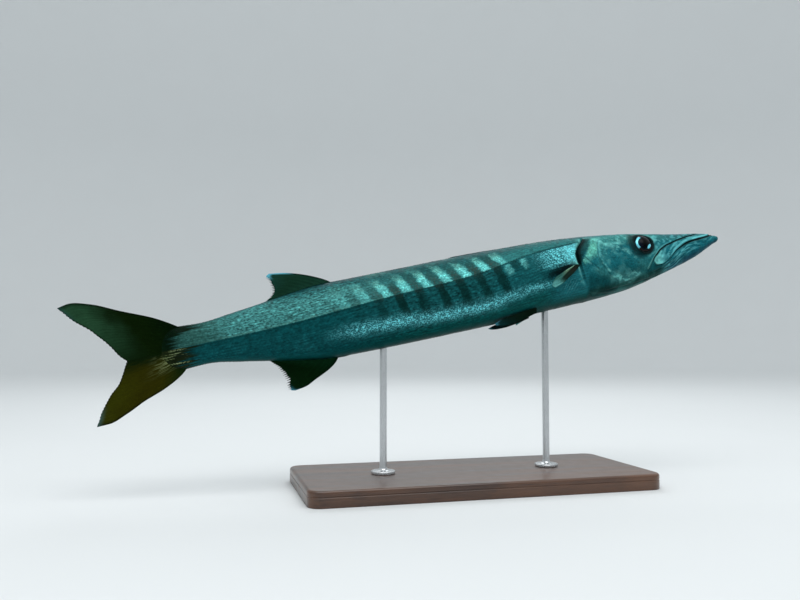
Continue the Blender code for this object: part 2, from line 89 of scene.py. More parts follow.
ROLL = ((0.0, 22.5), (0.16, 22.0), (0.30, 18.5), (0.42, 12.5), (0.53, 8.5),
        (0.75, 4.5), (1.0, 3.0), (1.2, 3.0))
FLESH_END = 0.880

# paths on the side of the body, as (s, angle) or (angle, s)
LATERAL = ((0.0, 0.66), (0.245, 0.66), (0.2595, 0.60), (0.3265, 0.50),
           (0.3847, 0.36), (0.4116, 0.29), (0.4394, 0.245), (0.4708, 0.215),
           (0.5515, 0.19), (0.6929, 0.06), (0.8250, -0.03), (0.90, -0.03))
MOUTH = ((0.0, 1.5708), (0.0135, 1.5708), (0.0150, 1.05), (0.0172, 0.62),
         (0.0205, 0.36), (0.0260, 0.19), (0.0342, 0.10), (0.0481, 0.03),
         (0.0613, -0.01), (0.0723, -0.07), (0.0840, -0.205),
         (0.0950, -0.356), (0.1038, -0.526), (0.1089, -0.652),
         (0.1170, -0.752), (0.1272, -0.834), (0.1382, -0.80))
MAXILLA = ((0.0, 1.5708), (0.022, 1.25), (0.038, 0.86), (0.0547, 0.54),
           (0.0686, 0.362), (0.0826, 0.192), (0.0972, 0.028),
           (0.1111, -0.072), (0.1199, -0.161), (0.1272, -0.242),
           (0.1338, -0.349), (0.1404, -0.45), (0.1448, -0.532),
           (0.1499, -0.658), (0.1543, -0.778), (0.1572, -0.885))
PLATE_END = ((0.1385, -0.41), (0.1418, -0.50), (0.1428, -0.60),
             (0.1415, -0.70), (0.1375, -0.79), (0.1290, -0.835))
PREOPERCLE = ((0.2224, 0.601), (0.2285, 0.40), (0.2330, 0.217),
              (0.2363, -0.047), (0.2356, -0.217), (0.2312, -0.406),
              (0.2246, -0.652), (0.2144, -0.866), (0.2034, -1.000),
              (0.1930, -1.030), (0.1807, -0.950), (0.1646, -0.903))
SPUR = ((0.2630, 0.02), (0.2598, -0.041), (0.2524, -0.198),
        (0.2466, -0.337), (0.2400, -0.47))
GILL_REAR = ((-1.5708, 0.1950), (-1.40, 0.2200), (-1.22, 0.2470),
             (-1.05, 0.2620), (-0.73, 0.2672), (-0.50, 0.2695),
             (-0.10, 0.2710), (0.10, 0.2700), (0.32, 0.2630),
             (0.62, 0.2505), (0.80, 0.2470), (1.5708, 0.2450))
FLAP_FRONT = ((-1.5708, 0.2200), (-0.30, 0.2640), (-0.104, 0.2670),
              (0.003, 0.2615), (0.205, 0.2515), (0.532, 0.2405),
              (0.75, 0.2360), (1.5708, 0.2300))

EYE_S, EYE_Y, EYE_Z = 0.1509, 0.0224, 0.0038
EYE_RADIUS, EYE_DEPTH = 0.0160, 0.0098


# ----------------------------------------------------------- measurements
def smooth(points, x):
    """Monotone cubic through (x, y) pairs."""
    xs = np.array([p[0] for p in points], float)
    ys = np.array([p[1] for p in points], float)
    h = np.diff(xs)
    d = np.diff(ys) / h
    m = np.zeros(len(xs))
    m[0], m[-1] = d[0], d[-1]
    for i in range(1, len(xs) - 1):
        if d[i - 1] * d[i] > 0:
            a, b = 2 * h[i] + h[i - 1], h[i] + 2 * h[i - 1]
            m[i] = (a + b) / (a / d[i - 1] + b / d[i])
    x = np.clip(np.asarray(x, float), xs[0], xs[-1])
    i = np.clip(np.searchsorted(xs, x) - 1, 0, len(h) - 1)
    t = (x - xs[i]) / h[i]
    return ((1 + 2 * t) * (1 - t) ** 2 * ys[i]
            + t * (1 - t) ** 2 * h[i] * m[i]
            + t * t * (3 - 2 * t) * ys[i + 1]
            + t * t * (t - 1) * h[i] * m[i + 1])


def step(a, b, x):
    """Smooth step from 0 at a to 1 at b."""
    t = np.clip((np.asarray(x, float) - a) / (b - a), 0, 1)
    return t * t * (3 - 2 * t)


def bump(x, width):
    return np.exp(-(np.asarray(x) / width) ** 2)


def station(s, k):
    return smooth([(row[0], row[k]) for row in STATIONS], s)


AXIS = np.array([math.cos(PITCH), 0.0, math.sin(PITCH)])
UP0 = np.array([-math.sin(PITCH), 0.0, math.cos(PITCH)])
SIDE0 = np.array([0.0, 1.0, 0.0])
TIP = np.array([0.0, 0.0, AXIS_HEIGHT]) + 0.5 * STANDARD_LENGTH * AXIS


def directions(s):
    roll = np.radians(smooth(ROLL, np.asarray(s, float) / STANDARD_LENGTH))
    c, n = np.cos(roll)[..., None], np.sin(roll)[..., None]
    return c * UP0 + n * SIDE0, -c * SIDE0 + n * UP0


def place(s, y, z):
    s = np.asarray(s, float)
    back, right = directions(s)
    return (TIP - s[..., None] * AXIS + np.asarray(y, float)[..., None] * right
            + np.asarray(z, float)[..., None] * back)


def outline(s, a):
    s, a = np.asarray(s, float), np.asarray(a, float)
    top, bottom, wide, level = (station(s, k) for k in (1, 2, 3, 4))
    # the flesh ends in a rounded wedge between the rays of the tail fin
    close = 1.0 - 0.55 * step(0.846, 0.888, s) ** 1.3
    top = level + (top - level) * close
    bottom = level + (bottom - level) * close
    wide = wide * (1.0 - 0.80 * step(0.850, 0.886, s))
    e = np.where(np.sin(a) >= 0, station(s, 5), station(s, 6))
    c, n = np.cos(a), np.sin(a)
    y = wide * np.sign(c) * np.abs(c) ** (2 / e)
    z = level + np.where(n >= 0, top - level, level - bottom) \
        * np.sign(n) * np.abs(n) ** (2 / e)
    return y, z


# tables of the distance round the body, belly to back, on one side
T_S = np.linspace(0.0, 0.90, 451)
T_X = np.linspace(-1, 1, 801)
T_A = 0.5 * PI * np.sign(T_X) * np.abs(T_X) ** 1.35
_y, _z = outline(T_S[:, None] + 0 * T_A, 0 * T_S[:, None] + T_A)
_d = np.hypot(np.diff(_y, axis=1), np.diff(_z, axis=1))
T_ARC = np.concatenate([np.zeros((len(T_S), 1)), np.cumsum(_d, axis=1)], 1)
T_LEN = T_ARC[:, -1]
T_F = np.linspace(0, 1, 601)
T_INV = np.array([np.interp(T_F, T_ARC[i] / T_LEN[i], T_A)
                  for i in range(len(T_S))])


def _grid(table, s, col):
    """Bilinear look-up with s in metres and col in columns."""
    i = np.clip(s / (T_S[1] - T_S[0]), 0, len(T_S) - 1.001)
    j = np.clip(col, 0, table.shape[1] - 1.001)
    i0, j0 = i.astype(int), j.astype(int)
    fi, fj = i - i0, j - j0
    return (table[i0, j0] * (1 - fi) * (1 - fj) + table[i0 + 1, j0] * fi
            * (1 - fj) + table[i0, j0 + 1] * (1 - fi) * fj
            + table[i0 + 1, j0 + 1] * fi * fj)


def girth(s):
    """Half girth at s."""
    return np.interp(s, T_S, T_LEN)


def fraction(s, a):
    """Share of the half girth, belly to back, at an angle."""
    s, a = np.broadcast_arrays(np.asarray(s, float), np.asarray(a, float))
    x = np.sign(a) * (np.abs(a) / (0.5 * PI)) ** (1 / 1.35)
    return _grid(T_ARC, s, (x + 1) / 2 * (len(T_A) - 1)) / girth(s)


def angle(s, f):
    """Angle at a share of the half girth."""
    s, f = np.broadcast_arrays(np.asarray(s, float), np.asarray(f, float))
    return _grid(T_INV, s, f * (len(T_F) - 1))


T_LAT = fraction(T_S, smooth(LATERAL, T_S))
T_MOUTH = fraction(T_S, smooth(MOUTH, T_S))
T_MAX = fraction(T_S, smooth(MAXILLA, T_S))


def lateral_fraction(s):
    return np.interp(s, T_S, T_LAT)


def level_of(s, a):
    """g, the distance above the lateral line round the body."""
    return (fraction(s, a) - lateral_fraction(s)) * girth(s)


def noise(x, y, seed=0):
    """Smooth value noise in -1..1 on a unit lattice, the same each run."""
    x, y = np.asarray(x, float), np.asarray(y, float)
    xi, yi = np.floor(x), np.floor(y)
    fx, fy = x - xi, y - yi
    fx, fy = fx * fx * (3 - 2 * fx), fy * fy * (3 - 2 * fy)

    def h(i, j):
        v = np.sin(i * 127.1 + j * 311.7 + seed * 74.7) * 43758.5453
        return 2 * (v - np.floor(v)) - 1
    return ((h(xi, yi) * (1 - fx) + h(xi + 1, yi) * fx) * (1 - fy)
            + (h(xi, yi + 1) * (1 - fx) + h(xi + 1, yi + 1) * fx) * fy)


# ----------------------------------------------------------------- relief
EYE_AT = np.array(outline(EYE_S, 0.087))         # y, z of the socket's middle


def unrolled(s, a):
    """Distance round the body from the middle of the side, upwards."""
    a = np.asarray(a, float)
    return (fraction(s, a) - fraction(s, 0 * a)) * girth(s)


class Line:
    """A smooth line on the side of the body through (s, angle) points."""

    def __init__(self, *points):
        p = np.array(points, float)
        t = np.concatenate([[0], np.cumsum(
            np.hypot(np.diff(p[:, 0]), 0.04 * np.diff(p[:, 1])))])
        q = np.linspace(0, t[-1], 40)
        s = smooth(list(zip(t, p[:, 0])), q)
        self.x = s
        self.y = unrolled(s, smooth(list(zip(t, p[:, 1])), q))

    def near(self, s, y):
        """Distance to the line, positive on its left, and the place on it
        from 0 to 1."""
        far = 0.03
        best = np.full(s.shape, far)
        sign = np.ones(s.shape)
        along = np.zeros(s.shape)
        m = ((s > self.x.min() - far) & (s < self.x.max() + far)
             & (y > self.y.min() - far) & (y < self.y.max() + far))
        sx, sy = s[m], y[m]
        b, g, w = best[m], sign[m], along[m]
        n = len(self.x) - 1
        for k in range(n):
            x0, y0 = self.x[k], self.y[k]
            dx, dy = self.x[k + 1] - x0, self.y[k + 1] - y0
            t = np.clip(((sx - x0) * dx + (sy - y0) * dy)
                        / max(dx * dx + dy * dy, 1e-12), 0, 1)
            d = np.hypot(sx - x0 - t * dx, sy - y0 - t * dy)
            c = dx * (sy - y0) - dy * (sx - x0)
            near = d < b
            b = np.where(near, d, b)
            g = np.where(near, np.where(c >= 0, 1.0, -1.0), g)
            w = np.where(near, (k + t) / n, w)
        best[m], sign[m], along[m] = b, g, w
        return best * sign, along


mouth_line = Line(*MOUTH[2:])
maxilla_line = Line(*MAXILLA[2:])
plate_end = Line(*PLATE_END)
preopercle_line = Line(*PREOPERCLE)
spur_line = Line(*SPUR)
jaw_fold = Line((0.060, -0.45), (0.085, -0.66), (0.110, -0.93),
                (0.135, -1.03), (0.160, -1.05))
throat_line = Line((0.105, -1.5708), (0.130, -1.45), (0.165, -1.33),
                   (0.200, -1.25), (0.235, -1.20))
# an eye's lower rim of small bones, and the cheek's upper edge
rim_line = Line((0.128, 0.06), (0.134, -0.16), (0.146, -0.31),
                (0.160, -0.36), (0.174, -0.28), (0.184, -0.10),
                (0.196, 0.10), (0.214, 0.24))


def behind(path, s, a):
    """How far a point lies behind a path round the body."""
    e = smooth(path, a)
    de = (smooth(path, a + 0.01) - smooth(path, a - 0.01)) / 0.02
    r = girth(s) / PI * 1.1
    return (s - e) / np.sqrt(1 + (de / r) ** 2)


def relief(s, a):
    """Height of the skin over the plain outline, and its marks (dark, partly
    painted shade, pale, greenish, shoulder highlight painted in, spare), at
    points of one side."""
    s, a = np.broadcast_arrays(np.asarray(s, float), np.asarray(a, float))
    f = fraction(s, a)
    y, z = outline(s, a)
    y = np.abs(y)
    Y = unrolled(s, a)
    h = np.full(s.shape, -SKIN_DEPTH)
    dark = np.zeros(s.shape)
    pale = np.zeros(s.shape)
    green = np.zeros(s.shape)
    rough1 = noise(s / 0.0045, Y / 0.0040, 5)
    rough2 = noise(s / 0.0095, Y / 0.0080, 6)

    # mouth
    v, tv = mouth_line.near(s, Y)
    on = step(0.0130, 0.0160, s) * (1 - 0.80 * step(0.60, 0.88, tv))
    grain = noise(s / 0.0070, v / 0.0011, 21)
    h -= 0.0017 * bump(v, 0.00075) * on
    h += 0.0006 * bump(v - 0.0028, 0.0017) * on
    h += 0.0005 * bump(v + 0.0028, 0.0018) * on
    dark += 1.55 * bump(v + 0.0002, 0.00100 + 0.0006
                        * (1 - step(0.070, 0.095, s))) * on \
        * (1 - 0.45 * step(0.50, 0.66, tv))
    dark += 0.30 * bump(v + 0.0012, 0.0018) * on
    # the lower jaw stands out past the upper one
    tip = 1 - step(0.0125, 0.0150, s)
    h -= 0.0009 * tip * step(0.3, 1.3, a) * step(0.005, 0.012, s)

    # the upper jaw's plate, widening to its rounded end
    w, tw = maxilla_line.near(s, Y)
    e, te = plate_end.near(s, Y)
    e = np.where(s < 0.118, -np.abs(e), e)
    onx = step(0.030, 0.055, s)
    h -= 0.0012 * bump(w, 0.0008) * onx * (1 - 0.5 * step(0.80, 0.95, tw))
    dark += 1.50 * bump(w, 0.0014) * onx * (1 - 0.65 * step(0.74, 0.9, tw))
    pale += 0.45 * bump(w - 0.0022, 0.0010) * step(0.48, 0.58, tw) \
        * (1 - step(0.72, 0.80, tw))
    inside = step(0.0, 0.0010, v) * step(0.0, 0.0010, -w) \
        * step(0.0, 0.0010, -e)
    h += 0.0007 * inside * step(0.03, 0.09, s)
    h -= 0.0008 * bump(e, 0.0008) * step(0.05, 0.15, te) * (v > -0.001)
    dark += (0.65 - 0.40 * step(0.35, 0.75, te)) \
        * bump(e - 0.0004, 0.0008) * step(0.05, 0.15, te) * (v > -0.001)
    strip = inside * step(0.017, 0.024, s)
    fine = noise(s / 0.0105, v / 0.0011, 22)
    near_mouth = (1 - step(0.0028, 0.0060, v)) \
        * (1 - 0.75 * step(0.060, 0.095, s))
    pale += strip * (1 - step(0.088, 0.112, s)) \
        * (0.66 * near_mouth * (0.85 + 0.5 * grain)
           + 0.50 * step(-0.10, 0.40, fine))
    pale += 0.40 * strip * step(0.088, 0.104, s) \
        * (1 - step(0.112, 0.121, s)) * step(-0.15, 0.5, grain)
    patchy = noise(s / 0.0042, v / 0.0036, 44)
    pale += inside * step(0.1110, 0.1310, s + 0.0050 * patchy) \
        * (0.66 + 0.42 * patchy + 0.18 * step(-0.006, 0.0, e))
    # fold behind the plate
    fold = step(0.72, 0.78, tw) * (1 - step(0.97, 1.0, tw))
    pale += 0.60 * bump(w - 0.0012, 0.0010) * fold
    # folds and pale flecks along the lower jaw
    d, td = jaw_fold.near(s, Y)
    h -= 0.0006 * bump(d, 0.0010) * step(0.0, 0.15, td) \
        * (1 - step(0.85, 1.0, td))
    dark += 0.30 * bump(d, 0.0012) * step(0.0, 0.2, td) \
        * (1 - step(0.7, 1.0, td))
    flecks = step(0.0, 0.5, noise(s / 0.0060, v / 0.0012, 8))
    pale += 0.55 * flecks * bump(v + 0.0068, 0.0034) \
        * step(0.055, 0.085, s) * (1 - step(0.116, 0.132, s))
    pale += 0.34 * flecks * bump(v + 0.0050, 0.0032) * step(0.012, 0.02, s) \
        * (1 - step(0.055, 0.07, s))
    pale += 0.42 * bump(v + 0.0017, 0.0010) * step(0.016, 0.022, s) \
        * (1 - step(0.070, 0.095, s)) * (0.7 + 0.6 * grain)
    pale += 0.30 * flecks * (1 - step(0.010, 0.020, s)) * step(-0.5, 0.3, a)
    lengthwise = noise(s / 0.0120, v / 0.0014, 61)
    on_jaw = step(-0.0185, -0.0150, v) * step(-0.0010, -0.0030, v) \
        * step(0.020, 0.034, s) * (1 - step(0.112, 0.130, s))
    pale += 0.30 * on_jaw * step(0.12, 0.62, lengthwise) \
        * step(0.030, 0.060, s)
    dark += 0.40 * on_jaw * step(0.10, 0.60, -lengthwise)

    # eye socket and its rim
    de = np.sqrt((s - EYE_S) ** 2 + (y - EYE_AT[0]) ** 2
                 + (z - EYE_AT[1]) ** 2)
    h -= 0.0078 * (1 - step(0.0108, 0.0160, de))
    h += 0.0007 * bump(de - 0.0182, 0.0022)
    h -= 0.0004 * bump(de - 0.0230, 0.0025)
    rear = np.clip((s - EYE_S) / 0.016, -0.4, 1)
    below = np.clip((EYE_AT[1] - z) / 0.016, 0, 1)
    reach = 0.0204 + 0.0088 * rear + 0.0016 * below + 0.0016 * rough2
    dark += 1.0 * (1 - step(0.0168, 0.0196, de))
    dark += 0.86 * (1 - step(0.76, 1.12, de / reach))
    d, td = rim_line.near(s, Y)
    onb = step(0.0, 0.1, td) * (1 - step(0.85, 1.0, td))
    h += 0.0004 * bump(d, 0.0022) * onb
    h -= 0.0003 * bump(d - 0.0034, 0.0012) * onb
    pale += 0.30 * bump(d + 0.0010, 0.0018) * onb * step(0.0, 0.6, rough1)

    # nostrils
    for ns, na, r in ((0.1270, 0.62, 0.0013), (0.1215, 0.66, 0.0010)):
        d = np.hypot(s - ns, (f - fraction(ns, na)) * girth(s))
        h -= 0.0013 * bump(d, r)
        h += 0.0003 * bump(d - 2.0 * r, 0.6 * r)
        dark += 0.9 * bump(d, r)

    # ridges along the top of the snout and head, hollow between the eyes
    onr = step(0.035, 0.07, s) * (1 - step(0.215, 0.26, s)) * step(0.3, 0.8, a)
    for ry, amount in ((0.0035, 0.00035), (0.0085, 0.0003), (0.0130, 0.0004)):
        spread = 0.6 + 0.4 * step(0.05, 0.16, s)
        h += amount * bump(y - ry * spread, 0.0013) * onr
    h -= 0.0008 * bump(s - 0.150, 0.030) * bump(y, 0.010) * step(0.9, 1.3, a)
    # fine grooves on the snout
    h += 0.00012 * np.sin(Y / 0.00095 + 1.5 * rough2) \
        * step(0.045, 0.07, s) * (1 - step(0.120, 0.140, s)) \
        * step(0.001, 0.004, w)

    # preopercle: a raised rear edge with a shallow hollow behind
    p, tp = preopercle_line.near(s, Y)
    onp = step(0.0, 0.10, tp) * (1 - step(0.88, 1.0, tp))
    h += 0.0006 * bump(p + 0.0014, 0.0017) * onp
    h -= 0.0004 * bump(p - 0.0016, 0.0016) * onp
    h -= 0.0003 * bump(p + 0.0075, 0.0014) * onp
    h += 0.0003 * bump(p + 0.0110, 0.0040) * onp
    low = step(0.38, 0.55, tp)
    broken = np.clip(0.50 + 0.8 * rough1 + 0.5 * rough2, 0, 1)
    scrap = step(0.0, 0.45, noise(s / 0.0034, Y / 0.0026, 31))
    pale += (0.34 - 0.04 * low) * bump(p + 0.0014, 0.0011) * onp * broken
    pale += 0.48 * low * scrap * bump(p + 0.0040, 0.0058) * onp
    pale += 0.16 * low * bump(p + 0.0040, 0.0060) * onp
    pale += 0.36 * scrap * bump(p + 0.0010, 0.0026) * onp * (1 - low)
    dark += 0.42 * bump(p - 0.0013, 0.0009) * onp * (1 - 0.4 * low)
    dark += 0.34 * bump(p + 0.0062, 0.0008) * onp * step(-0.5, 0.4, rough2)
    dark += 0.30 * low * bump(p + 0.0100, 0.0010) * onp

    # the gill cover's spur
    d, td = spur_line.near(s, Y)
    ons = step(0.0, 0.1, td) * (1 - step(0.75, 1.0, td))
    h -= 0.0005 * bump(d, 0.0008) * ons
    h += 0.0004 * bump(d + 0.0022, 0.0016) * ons
    dark += 0.55 * bump(d, 0.0009) * ons
    pale += 0.22 * bump(d - 0.0030, 0.0022) * ons * broken

    # the cover's soft dark edge, the opening and the shoulder's rim
    q = behind(GILL_REAR, s, a)
    q2 = behind(FLAP_FRONT, s, a)
    ong = 1 - step(0.70, 0.86, a)
    flap = step(-0.020, -0.001, q) * (1 - step(-0.0002, 0.0012, q))
    lowfade = 0.15 + 0.85 * step(-0.92, -0.50, a)
    h += 0.0010 * flap * ong * lowfade
    wide_open = step(-0.30, -0.08, a)
    h -= (0.0016 + 0.0018 * wide_open) * step(-0.0002, 0.0014, q) \
        * (1 - step(0.0022, 0.0062, q)) * ong * lowfade
    h += 0.0005 * bump(q - 0.0085, 0.0025) * ong
    upper = step(-0.22, -0.02, a) * (1 - step(0.62, 0.80, a))
    near_slit = step(-0.0075, -0.0010, q)
    dark += (0.62 + 0.34 * near_slit) * upper \
        * step(-0.0030, 0.0036, q2 + 0.0026 * rough1) \
        * (1 - step(0.0025, 0.0040, q))
    dark += (0.34 + 0.60 * wide_open) * ong * lowfade \
        * step(-0.0012, 0.0, q) * (1 - step(0.0010, 0.0030, q))
    pale += 0.80 * bump(q - 0.0054, 0.0016) * ong * step(-0.46, -0.12, a)
    pale += 0.35 * bump(q - 0.0060, 0.0022) * ong * step(-0.9, -0.6, a) \
        * (1 - step(-0.45, 0.0, a)) * broken
    # greenish pale patch in front of the dark edge
    green = step(0.0, 0.0035, p) * (1 - step(-0.0030, 0.0012, q2)) \
        * step(-0.14, 0.10, a + 8.0 * (s - 0.245)) \
        * (1 - step(0.60, 0.76, a)) * step(0.208, 0.216, s)
    green = green * np.clip(0.82 + 0.46 * rough1 + 0.26 * rough2
                            + 0.25 * step(0.2, 0.5, a), 0, 1)
    # darker skin low on the gill cover
    dark += 0.13 * step(0.204, 0.226, s) * (1 - step(-0.0020, 0.0, q)) \
        * (1 - step(-0.72, -0.45, a)) * step(-0.001, 0.002, p)
    # cheek scraps of pale skin
    blot = step(0.15, 0.75, noise(s / 0.0080, Y / 0.0065, 11))
    cheek = step(0.160, 0.185, s) * (1 - step(0.225, 0.238, s)) \
        * (1 - step(0.55, 0.75, a)) * step(-1.0, -0.8, a)
    pale += cheek * blot * (0.14 + 0.30 * step(-0.1, 0.3, a))
    pale += 0.30 * cheek * step(0.1, 0.6, noise(s / 0.0036, Y / 0.0030, 33)) \
        * step(-0.3, 0.2, a)
    near_eye = bump(s - 0.1285, 0.0065) * step(-0.2, 0.1, a) \
        * (1 - step(0.55, 0.8, a))
    pale += 0.60 * near_eye * step(-0.1, 0.5, rough1)
    spots = step(0.10, 0.60, noise(s / 0.0040, Y / 0.0026, 41)) \
        * (a > smooth(MAXILLA, s))
    pale += 0.36 * spots * step(0.040, 0.055, s) \
        * (1 - step(0.120, 0.135, s)) * step(0.0008, 0.0025, w)
    pale += 0.26 * spots * step(0.135, 0.160, s) \
        * (1 - step(0.225, 0.245, s)) * step(0.30, 0.60, a)
    # throat: edges of the gill membranes under the head
    d, td = throat_line.near(s, Y)
    h -= 0.0009 * bump(d, 0.0012) * step(0.02, 0.15, td)
    dark += 0.5 * bump(d, 0.0010) * step(0.02, 0.15, td)
    # small folds over the branchial rays
    h += 0.00022 * np.sin((Y + 0.35 * s) / 0.0011) \
        * step(0.165, 0.19, s) * (1 - step(0.238, 0.252, s)) \
        * (1 - step(-1.0, -0.9, a)) * step(-1.35, -1.2, a)

    # hollow behind the pectoral fin's root, and the fin's fleshy root
    fp = fraction(0.284, -0.22)
    d = np.hypot((s - 0.2835) / 0.0065, (f - fp) * girth(s) / 0.0095)
    h += 0.0016 * (1 - step(0.3, 1.1, d))
    # pale along the top of the fleshy root: painted highlight
    pale += 0.45 * bump(d - 0.9, 0.3) * step(-0.22, -0.1, a)
    tilt = -0.16 * (s - 0.299)
    off = (f - fraction(0.300, -0.185)) * girth(s) - tilt
    d = np.hypot((s - 0.299) / np.where(s > 0.299, 0.042, 0.027),
                 off / np.where(off < 0, 0.0150, 0.0100))
    h -= 0.0010 * (1 - step(0.2, 1.0, d))
    # dark patch in the hollow: the fin's dark axil with painted shade under the
    # fin
    dark += 1.02 * (1 - step(0.30, 1.12, d + 0.12 * rough1)) \
        * step(0.2745, 0.2815, s)
    # a pale scrap over the fin's root
    d = np.hypot(s - 0.2768, (f - fraction(0.2768, -0.115)) * girth(s))
    pale += 0.85 * bump(d, 0.0026)
    # lateral line, a low ridge
    g = (f - lateral_fraction(s)) * girth(s)
    onl = step(0.262, 0.275, s) * (1 - step(0.845, 0.86, s))
    h += 0.00009 * bump(g, 0.0014) * onl
    # the back's groove for the folded first fin
    h -= 0.0016 * bump(y, 0.0020) * step(0.376, 0.386, s) \
        * (1 - step(0.466, 0.480, s)) * step(0.8, 1.3, a)
    # flesh rising to the roots of the unpaired fins
    rise = step(0.622, 0.640, s) * (1 - step(0.724, 0.744, s))
    h += 0.0011 * bump(y, 0.0032) * rise * step(0.9, 1.3, np.abs(a))
    # soft unevenness of flesh
    head = 1 - step(0.24, 0.30, s)
    h += (0.00022 * head + 0.00010) * noise(s / 0.011, f * girth(s) / 0.010, 3)
    # painted highlight: a bright patch behind the shoulder
    shoulder = step(0.0035, 0.0075, q) \
        * (1 - step(0.300, 0.352, s)) * step(0.0, 0.0035, -g) \
        * step(-0.034 + 0.10 * (s - 0.27) - 0.006,
               -0.034 + 0.10 * (s - 0.27) + 0.004, g)
    marks = np.stack([np.clip(dark, 0, 1), np.clip(pale, 0, 1),
                      np.clip(green, 0, 1), shoulder], -1)
    return h, marks


def skin_point(s, a, side, lift=0.0):
    """Points of the finished skin and the outward directions there."""
    s, a, side = np.broadcast_arrays(np.asarray(s, float),
                                     np.asarray(a, float),
                                     np.asarray(side, float))

    def plain(ss, aa):
        y, z = outline(ss, aa)
        return place(ss, side * y, z)
    e, t = 0.0006, 0.004
    p = plain(s, a)
    ds = plain(s + e, a) - plain(s - e, a)
    hi, lo = np.minimum(a + t, 0.5 * PI), np.maximum(a - t, -0.5 * PI)
    da = plain(s, hi) - plain(s, lo)
    n = np.cross(ds, da) * side[..., None]
    n /= np.maximum(np.linalg.norm(n, axis=-1, keepdims=True), 1e-12)
    # outward: away from the axis
    mid = place(s, 0 * s, station(s, 4))
    flip = np.sign(np.sum(n * (p - mid), -1))
    n = n * np.where(flip == 0, 1, flip)[..., None]
    h, marks = relief(s, a)
    return p + n * (h + lift)[..., None], n, marks


# --------------------------------------------------------------- mesh code
def build(name, verts, faces, uv=None, smooth_faces=True, **fields):
    """Mesh object from arrays. faces: (n, 3) or (n, 4); uv per corner."""
    verts = np.asarray(verts, np.float32).reshape(-1, 3)
    faces = [np.asarray(f, np.int32) for f in
             (faces if isinstance(faces, (list, tuple)) else [faces])]
    faces = [f for f in faces if len(f)]
    me = bpy.data.meshes.new(name)
    me.vertices.add(len(verts))
    me.vertices.foreach_set("co", verts.ravel())
    loops = np.concatenate([f.ravel() for f in faces])
    totals = np.concatenate([np.full(len(f), f.shape[1], np.int32)
                             for f in faces])
    starts = np.concatenate([[0], np.cumsum(totals)[:-1]]).astype(np.int32)
    me.loops.add(len(loops))
    me.loops.foreach_set("vertex_index", loops)
    me.polygons.add(len(totals))
    me.polygons.foreach_set("loop_start", starts)
    me.polygons.foreach_set("loop_total", totals)
    if uv is not None:
        layer = me.uv_layers.new(name="OFBake")
        layer.data.foreach_set("uv", np.asarray(uv, np.float32).ravel())
    for key, value in fields.items():
        value = np.asarray(value, np.float32)
        if value.ndim == 1:
            at = me.attributes.new(key, "FLOAT", "POINT")
            at.data.foreach_set("value", value)
        else:
            at = me.attributes.new(key, "FLOAT_VECTOR", "POINT")
            at.data.foreach_set("vector", value.ravel())
    me.polygons.foreach_set("use_smooth",
                            np.full(len(totals), smooth_faces, bool))
    me.update(calc_edges=True)
    me.validate()
    ob = bpy.data.objects.new(name, me)
    bpy.context.scene.collection.objects.link(ob)
    return ob


def done(ob, mat, slot, *nodes):
    ob.data.materials.append(mat)
    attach(ob, "root")
    if nodes:
        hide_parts(*nodes)
    return ob


# ------------------------------------------------------------------- nodes
def rgb(r, g, b):
    """Colour from 0..255 screen values."""
    def lin(c):
        c = c / 255
        return c / 12.92 if c <= 0.04045 else ((c + 0.055) / 1.055) ** 2.4
    return (lin(r), lin(g), lin(b), 1.0)


